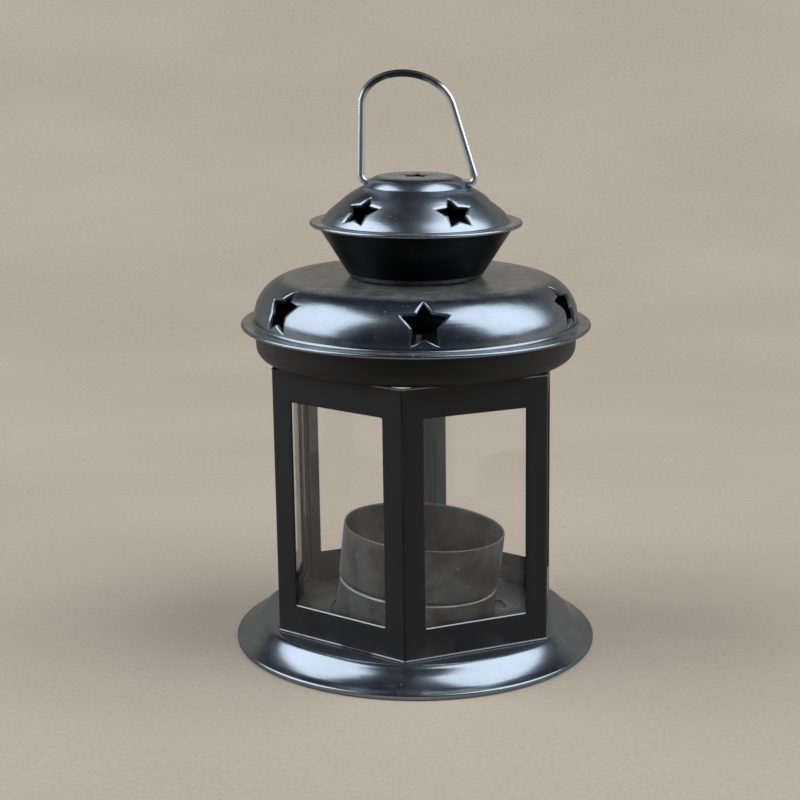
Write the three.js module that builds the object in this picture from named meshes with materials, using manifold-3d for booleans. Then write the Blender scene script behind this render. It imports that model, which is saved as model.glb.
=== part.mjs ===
// A small hexagonal star lantern in pressed tinplate, at rest on a table.
// Millimetres, +Z up. The origin is the middle of the base, at the table, and the bail turns about X.
// Azimuths are counted from the front, -Y, towards +X: a body corner points to the front.
import * as THREE from 'three';
import { mergeVertices } from 'three/addons/utils/BufferGeometryUtils.js';
import Module from 'manifold-3d';

// Sheet, clearances and facets
const SHEET = 0.4; // tinplate of every pressed piece
const SEAT_GAP = 0.1; // air between two sheets that lie on each other
const SLOT_PLAY = 0.3; // air round a tab in its slot
const ROUND_SIDES = 32; // sides of a turned piece
const ARC_SAG = 0.16; // how far a facet may lie inside a rounded corner
const PANELS = 6; // walls of the body
const PANEL_TURN = (2 * Math.PI) / PANELS;

// Base: a plateau on a sloping skirt with a rolled rim
const BASE_HEIGHT = 6.4;
const RIDGE_MARGIN = 0.9; // plateau outside the body's corners
const SKIRT_RUN = 4.3; // from the ridge out to the cove
const RIM_LEDGE = 2.1; // from the cove out to the rim
const RIM_BORE = 0.8; // inside height of the rolled rim
const RIM_RETURN = 1.8; // how far the roll comes back under the rim
const RIDGE_ROUND = 2.0;
const COVE_ROUND = 1.5;

// Body: one strip folded to a hexagon, with a window in each wall
const BODY_CORNER = 37.7; // from the axis to a corner
const BODY_HEIGHT = 65.5;
const STILE = 5.6; // from a corner to the window
const SILL = 7.5; // from the strip's lower edge to the window
const LINTEL = 7.0; // from the window to the strip's upper edge
const WINDOW_ROUND = 0.35;
const SEAM = 0.3; // open seam at the front corner
const TAB_WIDTH = 8.0; // tab that is bent over inside roof and base
const TAB_LEAF = 4.5;
const CLIP_WIDTH = 8.0; // folded clips beside the tab that hold the pane
const CLIP_LIP = 4.0;
const CLIP_SPACE = 2.0; // from the tab to a clip

// Panes
const PANE_THICKNESS = 1.5;
const PANE_PLAY = 0.3; // air round a pane in its clips
const PANE_INSET = 2.6; // from a corner of the strip to the edge of the pane

// Roof: a pan on the body and a dome hemmed round the pan's flange
const PAN_OVERHANG = 1.1; // pan wall outside the body's corners
const PAN_DEPTH = 8.0;
const PAN_FLARE = 0.5;
const PAN_ROUND = 4.2;
const PAN_OPENING = 25.0;
const DOME_OVERHANG = 1.7; // dome wall outside the body's corners
const DOME_RISE = 10.75;
const DOME_ROUND = 9.6;
const DOME_COVE = 1.1;
const ROOF_BRIM = 3.2; // brim outside the dome wall
const ROOF_HEM = 1.4; // flat part of the hem under the brim
const ROOF_STAR = 5.75;
const ROOF_STAR_STRETCH = 1.17; // punched level, so it is longer up the slope
const ROOF_STAR_FOOT = 0.1; // from the foot of the dome's rounding up to the star
const ROOF_STAR_AZIMUTHS = [8, 75, 134, 192, 251, 309].map(THREE.MathUtils.degToRad); // one gap is wider

// Cap: a bowl on the roof, held by a curled collar, and a hemmed dome with a crown
const COLLAR_RADIUS = 13.6;
const COLLAR_CURL = 0.9;
const NECK_RADIUS = 15.95;
const NECK_ROUND = 0.9;
const BOWL_HEIGHT = 13.15;
const BOWL_FLARE = 8.05; // from the neck out to the top of the bowl
const CAP_BRIM = 1.7; // brim outside the bowl
const CAP_HEM = 0.45;
const CONE_INSET = 1.0; // foot of the cap's slope inside the top of the bowl
const CONE_RISE = 7.6; // from the brim up to the foot of the crown
const SHOULDER_RADIUS = 15.2;
const SHOULDER_DROP = 0.9; // from the foot of the crown down to the shoulder
const SHOULDER_ROUND = 8.0;
const CROWN_RADIUS = 12.6; // at the foot of the crown's sloping side
const CROWN_RUN = 2.3; // from there in to the crown's edge
const CROWN_HEIGHT = 2.6;
const CROWN_ROUND = 1.6;
const CROWN_STAR = 4.3;
const CAP_STARS = 5;
const CAP_STAR = 5.1;
const CAP_STAR_FOOT = 1.0; // from the foot of the cap's slope up to the star
const CAP_TURN = THREE.MathUtils.degToRad(-38); // azimuth of the first star
const FLANGE_ROUND = 0.6; // corner where a wall turns into its brim

// Stars
const STAR_POINTS = 5;
const STAR_WAIST = 0.52; // inner radius over outer radius
const PUNCH = 2.0; // how far a punch reaches to each side of the sheet

// Bail: one wire with both feet in the crown
const WIRE = 1.75;
const WIRE_SIDES = 8;
const WIRE_STEPS = 48;
const BAIL_PLAY = 0.35; // air round the wire in its hole
const PIVOT_LIFT = 0.8; // pivot above the foot of the crown
const FOOT_SPAN = 1.4; // leg outside the crown
const FOOT_LENGTH = 4.9; // from the leg to the end of the foot
const KNEE = 1.6; // rounding between leg and foot
const LEG_HEIGHT = 18.0; // from the pivot to the shoulders of the arch
const LEG_TAPER = 3.0; // how far each leg comes in up to there
const ARCH_RISE = 7.9;
const BAIL_LEAN = -3.9; // the wire is bent over sideways by this much at the top
const BAIL_SHIFT = 0.6; // and has slid along its holes

// Candle holder: a cup riveted to a hat that twists into the base
const HAT_RADIUS = 20.9;
const HAT_HEIGHT = 8.0; // above the plateau
const HAT_ROUND = 0.8;
const HAT_BRIM = 4.1; // brim under the plateau
const TWIST_PLAY = 0.3; // air round the hat in the base
const LUGS = 3;
const LUG_REACH = 1.8;
const LUG_THICKNESS = 0.7;
const LUG_WIDTH = THREE.MathUtils.degToRad(11);
const LUG_AZIMUTH = THREE.MathUtils.degToRad(65);
const NOTCH_WIDTH = THREE.MathUtils.degToRad(15);
const TWIST = THREE.MathUtils.degToRad(40); // from locked to the notches
const GRIP_WIDTH = 10.0; // the two grips that are turned by hand
const GRIP_DROP = 3.6;
const CUP_RADIUS = 19.9;
const CUP_HEIGHT = 14.0;
const CUP_ROUND = 1.2;
const CUP_LEAN = 0.13; // the cup stands over to the right by this much of its height
const RIVET_SHANK = 1.5;
const RIVET_HEAD = 3.0;
const RIVET_RISE = 1.0;
const RIVET_TAIL = 2.4;
const RIVET_PLAY = 0.2;
const RIVET_SIDES = 12;

// Heights that the pieces share
const SILL_Z = BASE_HEIGHT + SEAT_GAP; // lower edge of the body
const LINTEL_Z = SILL_Z + BODY_HEIGHT; // upper edge of the body
const PAN_Z = LINTEL_Z + SEAT_GAP;
const HEM_HEIGHT = 3 * SHEET + 2 * SEAT_GAP;
const PAN_FLANGE_Z = PAN_Z + PAN_DEPTH;
const BRIM_Z = PAN_FLANGE_Z + 2 * SHEET + SEAT_GAP; // top of the roof's brim
const ROOF_Z = BRIM_Z + DOME_RISE;
const BOWL_Z = ROOF_Z + SEAT_GAP;
const BOWL_FLANGE_Z = BOWL_Z + BOWL_HEIGHT;
const CAP_BRIM_Z = BOWL_FLANGE_Z + 2 * SHEET + SEAT_GAP;
const CROWN_FOOT_Z = CAP_BRIM_Z + CONE_RISE;
const CROWN_Z = CROWN_FOOT_Z + CROWN_HEIGHT;
const PIVOT_Z = CROWN_FOOT_Z + PIVOT_LIFT;
const HAT_Z = BASE_HEIGHT + HAT_HEIGHT;
const CUP_Z = HAT_Z + SEAT_GAP;

// Radii that the pieces share
const RIDGE_RADIUS = BODY_CORNER + RIDGE_MARGIN;
const BASE_RADIUS = RIDGE_RADIUS + SKIRT_RUN + RIM_LEDGE;
const BODY_FLAT = BODY_CORNER * Math.cos(PANEL_TURN / 2); // from the axis to a wall
const DOME_RADIUS = BODY_CORNER + DOME_OVERHANG;
const ROOF_RADIUS = DOME_RADIUS + ROOF_BRIM;
const BOWL_RADIUS = NECK_RADIUS + BOWL_FLARE;
const CAP_RADIUS = BOWL_RADIUS + CAP_BRIM;
const CONE_RADIUS = BOWL_RADIUS - CONE_INSET;
const HAT_BRIM_RADIUS = HAT_RADIUS + HAT_BRIM;
const HAT_HOLE = HAT_RADIUS + TWIST_PLAY;
const RIVET_HOLE = RIVET_SHANK + RIVET_PLAY;

const wasm = await Module();
wasm.setup();

// A closed geometry as a solid that can be joined and cut; triangles that collapse on the axis are left out.
function solidOf(geometry) {
  const bare = geometry.clone();
  bare.deleteAttribute('normal');
  bare.deleteAttribute('uv');
  const merged = mergeVertices(bare);
  const index = merged.index.array;
  const triVerts = [];
  for (let i = 0; i < index.length; i += 3) {
    const [a, b, c] = index.slice(i, i + 3);
    if (a !== b && b !== c && c !== a) triVerts.push(a, b, c);
  }
  const vertProperties = merged.attributes.position.array;
  return new wasm.Manifold(new wasm.Mesh({ numProp: 3, vertProperties, triVerts: new Uint32Array(triVerts) }));
}

function geometryOf(solid) {
  const mesh = solid.getMesh();
  const geometry = new THREE.BufferGeometry();
  geometry.setAttribute('position', new THREE.BufferAttribute(mesh.vertProperties, 3));
  geometry.setIndex(new THREE.BufferAttribute(mesh.triVerts, 1));
  geometry.computeVertexNormals();
  return geometry;
}

function join(first, others) {
  return others.reduce((whole, piece) => whole.add(solidOf(piece)), solidOf(first));
}

function cut(solid, punches) {
  return punches.reduce((whole, punch) => whole.subtract(solidOf(punch)), solid);
}

// Copies of a geometry round the axis, the first one turned to the given azimuth.
function round(geometry, count, azimuth = 0) {
  const turns = Array.from({ length: count }, (_, k) => azimuth + (k * 2 * Math.PI) / count);
  return turns.map((turn) => geometry.clone().rotateZ(turn));
}

// A corner [r, z, rounding] of an outline becomes the points of its tangent arc.
function cornerArc(before, [r, z, rounding], after) {
  const corner = new THREE.Vector2(r, z);
  const back = new THREE.Vector2(before[0], before[1]).sub(corner).normalize();
  const ahead = new THREE.Vector2(after[0], after[1]).sub(corner).normalize();
  const turn = Math.PI - Math.acos(THREE.MathUtils.clamp(back.dot(ahead), -1, 1));
  const setback = rounding * Math.tan(turn / 2);
  const middle = back.clone().add(ahead).normalize();
  const centre = corner.clone().addScaledVector(middle, Math.hypot(setback, rounding));
  const start = corner.clone().addScaledVector(back, setback).sub(centre).angle();
  const end = corner.clone().addScaledVector(ahead, setback).sub(centre).angle();
  const clockwise = back.cross(ahead) > 0;
  const facet = 2 * Math.acos(Math.max(1 - ARC_SAG / rounding, 0));
  const steps = Math.max(2, Math.ceil(turn / facet));
  return new THREE.EllipseCurve(centre.x, centre.y, rounding, rounding, start, end, clockwise).getPoints(steps);
}

// One face of a sheet in section: straight runs between corners, each rounded by its third value.
function sheetFace(corners) {
  return corners.flatMap((corner, i) => {
    const inner = i > 0 && i < corners.length - 1;
    if (inner && corner[2]) return cornerArc(corners[i - 1], corner, corners[i + 1]);
    return [new THREE.Vector2(corner[0], corner[1])];
  });
}

// The other face of the sheet, a thickness away to the left of the first one, with mitred corners.
function offsetFace(face, thickness) {
  const normals = face.slice(1).map((point, i) => {
    const run = point.clone().sub(face[i]).normalize();
    return new THREE.Vector2(-run.y, run.x);
  });
  return face.map((point, i) => {
    const before = normals[Math.max(i - 1, 0)];
    const after = normals[Math.min(i, normals.length - 1)];
    const mitre = before.clone().add(after).divideScalar(1 + before.dot(after));
    return point.clone().addScaledVector(mitre, thickness);
  });
}

// A closed section turned about Z, with a corner of the facets at the front.
function turned(section, sides = ROUND_SIDES) {
  const loop = THREE.ShapeUtils.area(section) > 0 ? [...section] : [...section].reverse();
  const onAxis = loop.some((point) => point.x === 0);
  if (!onAxis) loop.push(loop[0].clone());
  return new THREE.LatheGeometry(loop, sides).rotateX(Math.PI / 2);
}

// A pressing of even thickness from the corners of its face, with the sheet to the left (1) or right (-1) of it.
function pressing(corners, side) {
  const face = sheetFace(corners);
  return turned([...face, ...offsetFace(face, side * SHEET).reverse()]);
}

// A profile drawn in the Y-Z plane and extruded along X, centred on X = 0.
function extrudedAcross(points, width) {
  const profile = new THREE.Shape(points.map(([y, z]) => new THREE.Vector2(y, z)));
  const bar = new THREE.ExtrudeGeometry(profile, { depth: width, bevelEnabled: false });
  return bar.translate(0, 0, -width / 2).rotateZ(Math.PI / 2).rotateY(Math.PI / 2);
}

function block(width, depth, height, x, y, z) {
  return new THREE.BoxGeometry(width, depth, height).translate(x, y, z);
}

// Part of a flat ring round the axis between two heights, centred on an azimuth.
function ringPart(inner, outer, azimuth, width, low, high) {
  const middle = azimuth - Math.PI / 2;
  const shape = new THREE.Shape();
  shape.absarc(0, 0, outer, middle - width / 2, middle + width / 2, false);
  shape.absarc(0, 0, inner, middle + width / 2, middle - width / 2, true);
  const depth = high - low;
  return new THREE.ExtrudeGeometry(shape, { depth, bevelEnabled: false, curveSegments: 2 }).translate(0, 0, low);
}

// A five-pointed star punch, pointing up +Y, that reaches to both sides of the XY plane.
function starPunch(radius) {
  const points = Array.from({ length: 2 * STAR_POINTS }, (_, i) => {
    const reach = i % 2 ? radius * STAR_WAIST : radius;
    const angle = Math.PI / 2 + (i * Math.PI) / STAR_POINTS;
    return new THREE.Vector2(reach * Math.cos(angle), reach * Math.sin(angle));
  });
  const star = new THREE.ExtrudeGeometry(new THREE.Shape(points), { depth: 2 * PUNCH, bevelEnabled: false });
  return star.translate(0, 0, -PUNCH);
}

// The slots that the body's tabs pass through, in the sheet at the given height.
function tabSlots(height) {
  const depth = SHEET + 2 * SLOT_PLAY;
  const slot = block(TAB_WIDTH + 2 * SLOT_PLAY, depth, 2 * PUNCH, 0, -BODY_FLAT + SHEET / 2, height);
  return round(slot, PANELS, PANEL_TURN / 2);
}

function basePan() {
  const roll = SHEET + RIM_BORE / 2;
  const skirt = pressing([
    [HAT_HOLE, BASE_HEIGHT],
    [RIDGE_RADIUS, BASE_HEIGHT, RIDGE_ROUND],
    [RIDGE_RADIUS + SKIRT_RUN, 2 * roll, COVE_ROUND],
    [BASE_RADIUS, 2 * roll, roll],
    [BASE_RADIUS, 0, roll],
    [BASE_RADIUS - RIM_RETURN, 0],
  ], -1);
  const reach = HAT_RADIUS + LUG_REACH + TWIST_PLAY;
  const top = BASE_HEIGHT + PUNCH;
  const notch = ringPart(HAT_RADIUS, reach, LUG_AZIMUTH + TWIST, NOTCH_WIDTH, BASE_HEIGHT - PUNCH, top);
  return geometryOf(cut(solidOf(skirt), [...tabSlots(BASE_HEIGHT), ...round(notch, LUGS)]));
}

// A wall's corner-to-corner width, measured on its outer face.
const WALL_WIDTH = 2 * BODY_CORNER * Math.sin(PANEL_TURN / 2);

function windowPunch() {
  const half = WALL_WIDTH / 2 - STILE;
  const low = SILL_Z + SILL;
  const high = LINTEL_Z - LINTEL;
  const middle = (low + high) / 2;
  const rise = (high - low) / 2;
  const shape = new THREE.Shape();
  shape.moveTo(half, -rise + WINDOW_ROUND);
  shape.absarc(half - WINDOW_ROUND, rise - WINDOW_ROUND, WINDOW_ROUND, 0, Math.PI / 2);
  shape.absarc(-half + WINDOW_ROUND, rise - WINDOW_ROUND, WINDOW_ROUND, Math.PI / 2, Math.PI);
  shape.absarc(-half + WINDOW_ROUND, -rise + WINDOW_ROUND, WINDOW_ROUND, Math.PI, 1.5 * Math.PI);
  shape.absarc(half - WINDOW_ROUND, -rise + WINDOW_ROUND, WINDOW_ROUND, 1.5 * Math.PI, 2 * Math.PI);
  const punch = new THREE.ExtrudeGeometry(shape, { depth: 2 * PUNCH, bevelEnabled: false, curveSegments: 1 });
  return punch.rotateX(Math.PI / 2).translate(0, -BODY_FLAT + PUNCH, middle);
}

// A tab in the wall's plane that passes a slot and is bent inwards; up is 1 at the roof and -1 at the base.
function wallTab(edge, up) {
  const outer = -BODY_FLAT;
  const leaf = edge + up * (2 * SEAT_GAP + SHEET);
  const root = edge - up * SHEET;
  return extrudedAcross([
    [outer, root],
    [outer, leaf + up * SHEET],
    [outer + TAB_LEAF, leaf + up * SHEET],
    [outer + TAB_LEAF, leaf],
    [outer + SHEET, leaf],
    [outer + SHEET, root],
  ], TAB_WIDTH);
}

// The strip's edge folded inwards and back beside a tab, so that the pane stands in it.
function paneClip(edge, up, side) {
  const outer = -BODY_FLAT;
  const lip = outer + 2 * SHEET + PANE_THICKNESS + 2 * PANE_PLAY;
  const clip = extrudedAcross([
    [outer, edge],
    [lip, edge],
    [lip, edge - up * CLIP_LIP],
    [lip - SHEET, edge - up * CLIP_LIP],
    [lip - SHEET, edge - up * SHEET],
    [outer, edge - up * SHEET],
  ], CLIP_WIDTH);
  return clip.translate(side * (TAB_WIDTH / 2 + CLIP_SPACE + CLIP_WIDTH / 2), 0, 0);
}

function hexagon(corner) {
  const points = Array.from({ length: PANELS }, (_, k) => {
    const azimuth = k * PANEL_TURN;
    return new THREE.Vector2(corner * Math.sin(azimuth), -corner * Math.cos(azimuth));
  });
  return points;
}

function bodyFrame() {
  const tube = new THREE.Shape(hexagon(BODY_CORNER));
  tube.holes.push(new THREE.Path(hexagon(BODY_CORNER - SHEET / Math.cos(PANEL_TURN / 2))));
  const strip = new THREE.ExtrudeGeometry(tube, { depth: BODY_HEIGHT, bevelEnabled: false }).translate(0, 0, SILL_Z);
  const folds = [[SILL_Z, -1], [LINTEL_Z, 1]].flatMap(([edge, up]) => [
    wallTab(edge, up),
    paneClip(edge, up, -1),
    paneClip(edge, up, 1),
  ]);
  const folded = join(strip, folds.flatMap((fold) => round(fold, PANELS, PANEL_TURN / 2)));
  const seam = block(SEAM, 2 * PUNCH, 2 * BODY_HEIGHT, 0, -BODY_CORNER, LINTEL_Z);
  return geometryOf(cut(folded, [...round(windowPunch(), PANELS, PANEL_TURN / 2), seam]));
}

// A pane that stands in the clips of the wall facing the front.
function pane() {
  const inside = SHEET + PANE_PLAY;
  const low = SILL_Z + inside;
  const high = LINTEL_Z - inside;
  const middle = -BODY_FLAT + inside + PANE_THICKNESS / 2;
  return block(WALL_WIDTH - 2 * PANE_INSET, PANE_THICKNESS, high - low, 0, middle, (low + high) / 2);
}

function roofPan() {
  const wall = BODY_CORNER + PAN_OVERHANG;
  const tray = pressing([
    [PAN_OPENING, PAN_Z],
    [wall, PAN_Z, PAN_ROUND],
    [wall + PAN_FLARE, PAN_FLANGE_Z, FLANGE_ROUND],
    [ROOF_RADIUS - HEM_HEIGHT / 2 + SEAT_GAP / 2, PAN_FLANGE_Z],
  ], 1);
  return geometryOf(cut(solidOf(tray), tabSlots(PAN_Z)));
}

// The star punch bent round the dome's shoulder, so that the star follows the pressing.
function roofStarPunch() {
  const punch = starPunch(ROOF_STAR);
  const foot = ROOF_STAR * ROOF_STAR_STRETCH * Math.cos(Math.PI / STAR_POINTS) + ROOF_STAR_FOOT;
  const place = punch.attributes.position;
  for (let i = 0; i < place.count; i += 1) {
    const angle = (foot + ROOF_STAR_STRETCH * place.getY(i)) / DOME_ROUND;
    const reach = DOME_ROUND + place.getZ(i);
    const radius = DOME_RADIUS - DOME_ROUND + reach * Math.cos(angle);
    place.setXYZ(i, place.getX(i), -radius, ROOF_Z - DOME_ROUND + reach * Math.sin(angle));
  }
  return punch;
}

function roofDome() {
  const curl = BOWL_Z + SHEET + SEAT_GAP;
  const hemEnd = ROOF_RADIUS - HEM_HEIGHT / 2 - ROOF_HEM;
  const dome = pressing([
    [COLLAR_RADIUS + COLLAR_CURL, curl],
    [COLLAR_RADIUS, curl],
    [COLLAR_RADIUS, ROOF_Z],
    [DOME_RADIUS, ROOF_Z, DOME_ROUND],
    [DOME_RADIUS, BRIM_Z, DOME_COVE],
    [ROOF_RADIUS, BRIM_Z, HEM_HEIGHT / 2],
    [ROOF_RADIUS, BRIM_Z - HEM_HEIGHT, HEM_HEIGHT / 2],
    [hemEnd, BRIM_Z - HEM_HEIGHT],
  ], -1);
  const stars = ROOF_STAR_AZIMUTHS.map((azimuth) => roofStarPunch().rotateZ(azimuth));
  return geometryOf(cut(solidOf(dome), stars));
}

function capBowl() {
  return pressing([
    [COLLAR_RADIUS + 1.5 * SEAT_GAP, BOWL_Z],
    [NECK_RADIUS, BOWL_Z, NECK_ROUND],
    [BOWL_RADIUS, BOWL_FLANGE_Z, FLANGE_ROUND],
    [CAP_RADIUS - HEM_HEIGHT / 2 + SEAT_GAP / 2, BOWL_FLANGE_Z],
  ], 1);
}

// The star punch laid on the cap's slope, pointing up it.
function capStarPunch() {
  const run = CONE_RADIUS - SHOULDER_RADIUS;
  const rise = CONE_RISE - SHOULDER_DROP;
  const slope = Math.atan2(rise, run);
  const climb = CAP_STAR * Math.cos(Math.PI / STAR_POINTS) + CAP_STAR_FOOT;
  const radius = CONE_RADIUS - climb * Math.cos(slope);
  const height = CAP_BRIM_Z + climb * Math.sin(slope);
  return starPunch(CAP_STAR).rotateX(slope).translate(0, -radius, height);
}

function bailHoles() {
  const drill = new THREE.CylinderGeometry(WIRE / 2 + BAIL_PLAY, WIRE / 2 + BAIL_PLAY, 4 * PUNCH, 2 * WIRE_SIDES);
  const hole = drill.rotateZ(Math.PI / 2).translate(CROWN_RADIUS, 0, PIVOT_Z);
  return round(hole, 2);
}

function capDome() {
  const hemEnd = CAP_RADIUS - HEM_HEIGHT / 2 - CAP_HEM;
  const dome = pressing([
    [0, CROWN_Z],
    [CROWN_RADIUS - CROWN_RUN, CROWN_Z, CROWN_ROUND],
    [CROWN_RADIUS, CROWN_FOOT_Z],
    [SHOULDER_RADIUS, CROWN_FOOT_Z - SHOULDER_DROP, SHOULDER_ROUND],
    [CONE_RADIUS, CAP_BRIM_Z],
    [CAP_RADIUS, CAP_BRIM_Z, HEM_HEIGHT / 2],
    [CAP_RADIUS, CAP_BRIM_Z - HEM_HEIGHT, HEM_HEIGHT / 2],
    [hemEnd, CAP_BRIM_Z - HEM_HEIGHT],
  ], -1);
  const stars = round(capStarPunch(), CAP_STARS, CAP_TURN);
  const crownStar = starPunch(CROWN_STAR).translate(0, 0, CROWN_Z);
  return geometryOf(cut(solidOf(dome), [...stars, crownStar, ...bailHoles()]));
}

// The wire's centre line: foot, knee and leg on each side and one flattened arch, bent over by the lean.
function bailPath() {
  const top = LEG_HEIGHT + ARCH_RISE;
  const place = (x, lift) => new THREE.Vector3(x + BAIL_SHIFT + (BAIL_LEAN * lift) / top, 0, PIVOT_Z + lift);
  const leg = CROWN_RADIUS + FOOT_SPAN;
  const shoulder = leg - LEG_TAPER;
  const taper = LEG_TAPER / LEG_HEIGHT;
  const control = LEG_HEIGHT + (4 * ARCH_RISE) / 3;
  const wire = new THREE.CurvePath();
  const side = (sign) => [
    place(sign * (leg - FOOT_LENGTH), 0),
    place(sign * (leg - KNEE), 0),
    place(sign * leg, 0),
    place(sign * (leg - taper * KNEE), KNEE),
    place(sign * shoulder, LEG_HEIGHT),
    place(sign * (shoulder - taper * ARCH_RISE), control),
  ];
  const left = side(-1);
  const right = side(1);
  wire.add(new THREE.LineCurve3(left[0], left[1]));
  wire.add(new THREE.QuadraticBezierCurve3(left[1], left[2], left[3]));
  wire.add(new THREE.LineCurve3(left[3], left[4]));
  wire.add(new THREE.CubicBezierCurve3(left[4], left[5], right[5], right[4]));
  wire.add(new THREE.LineCurve3(right[4], right[3]));
  wire.add(new THREE.QuadraticBezierCurve3(right[3], right[2], right[1]));
  wire.add(new THREE.LineCurve3(right[1], right[0]));
  return wire;
}

function bailHandle() {
  const section = new THREE.Shape();
  section.absarc(0, 0, WIRE / 2, 0, 2 * Math.PI);
  const curveSegments = WIRE_SIDES / 2;
  return new THREE.ExtrudeGeometry(section, { steps: WIRE_STEPS, curveSegments, extrudePath: bailPath() });
}

function holderHat() {
  const brim = BASE_HEIGHT - SHEET - SEAT_GAP;
  const hat = pressing([
    [RIVET_HOLE, HAT_Z],
    [HAT_RADIUS, HAT_Z, HAT_ROUND],
    [HAT_RADIUS, brim],
    [HAT_BRIM_RADIUS, brim],
  ], -1);
  const low = BASE_HEIGHT + SEAT_GAP;
  const root = HAT_RADIUS - SHEET / 2;
  const lug = ringPart(root, HAT_RADIUS + LUG_REACH, LUG_AZIMUTH, LUG_WIDTH, low, low + LUG_THICKNESS);
  const gripHeight = SHEET + GRIP_DROP;
  const grip = block(GRIP_WIDTH, SHEET, gripHeight, 0, SHEET - HAT_BRIM_RADIUS, brim - gripHeight / 2);
  return geometryOf(join(hat, [...round(lug, LUGS), ...round(grip, 2)]));
}

function candleCup() {
  const cup = pressing([
    [RIVET_HOLE, CUP_Z],
    [CUP_RADIUS, CUP_Z, CUP_ROUND],
    [CUP_RADIUS, CUP_Z + CUP_HEIGHT],
  ], 1);
  const lean = new THREE.Matrix4().makeShear(0, 0, 0, 0, CUP_LEAN, 0);
  return cup.translate(0, 0, -CUP_Z).applyMatrix4(lean).translate(0, 0, CUP_Z);
}

function cupRivet() {
  const seat = CUP_Z + SHEET + SEAT_GAP;
  const under = HAT_Z - SHEET - SEAT_GAP;
  const tail = under - RIVET_RISE / 2;
  const dome = new THREE.EllipseCurve(0, seat, RIVET_HEAD, RIVET_RISE, Math.PI / 2, 0, true).getPoints(4);
  dome[0].x = 0;
  const shank = [
    [RIVET_SHANK, seat],
    [RIVET_SHANK, under],
    [RIVET_TAIL, under],
    [RIVET_TAIL, tail],
    [0, tail],
  ];
  return turned([...dome, ...shank.map(([r, z]) => new THREE.Vector2(r, z))], RIVET_SIDES);
}

const enamel = { color: '#2b3440', roughness: 0.35, metalness: 0.0 };
const flatBlack = { color: '#202224', roughness: 0.55, metalness: 0.0 };
const cupGrey = { color: '#3c3d3e', roughness: 0.7, metalness: 0.2 };
const brightWire = { color: '#b9b7b2', roughness: 0.3, metalness: 1.0 };
const glass = { color: '#dfe6e4', roughness: 0.05, metalness: 0.0 };

function node(name, geometry, finish) {
  const mesh = new THREE.Mesh(geometry, new THREE.MeshStandardMaterial(finish));
  mesh.name = name;
  return mesh;
}

const body = new THREE.Group();
body.add(node('base_pan', basePan(), enamel));
body.add(node('body_frame', bodyFrame(), flatBlack));
for (let k = 0; k < PANELS; k += 1) {
  const wall = new THREE.Group();
  wall.rotation.z = (k + 0.5) * PANEL_TURN;
  wall.add(node(`glass_pane_${k + 1}`, pane(), glass));
  body.add(wall);
}

const roof = new THREE.Group();
roof.add(node('roof_pan', roofPan(), enamel));
roof.add(node('roof_dome', roofDome(), enamel));
roof.add(node('cap_bowl', capBowl(), enamel));
roof.add(node('cap_dome', capDome(), enamel));

const holder = new THREE.Group();
holder.add(node('holder_hat', holderHat(), cupGrey));
holder.add(node('candle_cup', candleCup(), cupGrey));
holder.add(node('cup_rivet', cupRivet(), brightWire));

const lantern = new THREE.Group();
lantern.add(body, roof, holder, node('bail_handle', bailHandle(), brightWire));

export default lantern;
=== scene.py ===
"""Star lantern: a tealight lantern of pressed tin with star cut-outs, six panes and a wire bail.

Every piece is a surface worked out on a grid in millimetres and put into the frame in metres.
Heights are measured from the table, azimuths from the front (-Y) towards the right (+X).
"""

import logging
import math
from dataclasses import dataclass, field
from enum import Enum
from functools import cached_property
from typing import Any, Optional, Sequence, Union

import bmesh
import bpy
import numpy as np
from mathutils import Euler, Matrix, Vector


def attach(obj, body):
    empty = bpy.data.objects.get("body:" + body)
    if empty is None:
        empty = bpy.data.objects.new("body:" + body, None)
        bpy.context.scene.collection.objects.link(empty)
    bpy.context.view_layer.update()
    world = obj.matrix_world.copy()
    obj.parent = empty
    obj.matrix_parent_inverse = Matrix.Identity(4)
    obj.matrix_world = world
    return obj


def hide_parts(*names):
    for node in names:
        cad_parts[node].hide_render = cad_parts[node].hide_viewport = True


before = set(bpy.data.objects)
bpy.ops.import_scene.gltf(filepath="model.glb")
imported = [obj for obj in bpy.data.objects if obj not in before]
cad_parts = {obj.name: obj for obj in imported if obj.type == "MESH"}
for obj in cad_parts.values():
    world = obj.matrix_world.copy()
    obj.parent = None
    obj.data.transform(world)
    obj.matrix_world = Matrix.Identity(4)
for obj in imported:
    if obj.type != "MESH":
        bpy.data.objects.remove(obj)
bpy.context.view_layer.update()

LOG = logging.getLogger("star_lantern")

Array = np.ndarray
Pair = tuple[float, float]
Socket = bpy.types.NodeSocket
Tree = bpy.types.NodeTree

MM = 0.001
PANELS = 6
BAIL_AXIS = 114.3
STAR_FOLD = math.pi / 5.0
TURN_STEPS = np.radians(np.arange(360.0))
UPRIGHT = np.array([0.0, 0.0, 1.0])

# Nearest that points of a line may lie, in its own units, and points and edges of a mesh, in metres
SAME_POINT = 1e-6
WELD = 1e-6
SLIVER = 1e-7

# Band that holds nearly all values of a noise pattern
NOISE_BAND = (0.3, 0.7)

# Places of a colour mix's factor, two colours and result among the sockets of a Mix node
FACTOR, FIRST, SECOND, BLEND = 0, 6, 7, 2


class SheetSide(Enum):
    """Side of a drawn face on which the sheet lies, looking along the drawn line."""

    RIGHT = -1.0
    LEFT = 1.0


class Body(Enum):
    """Bodies of the frame that pieces ride on."""

    LANTERN = "lantern_body"
    BAIL = "bail"
    HOLDER = "candle_holder"


class Slot(Enum):
    """Material slots of the record."""

    ENAMEL = "shell_enamel"
    BLACK = "body_black"
    GLASS = "pane_glass"
    CUP = "cup_grey"
    WIRE = "bail_wire"
    RIVET = "rivet_steel"


class Face(Enum):
    """Places of a mesh's materials: painted skin, bare cut edges, half-painted edges and the inside."""

    SKIN = 0
    EDGE = 1
    WORN = 2
    INSIDE = 3


# Colours, nodes and finishes


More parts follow.
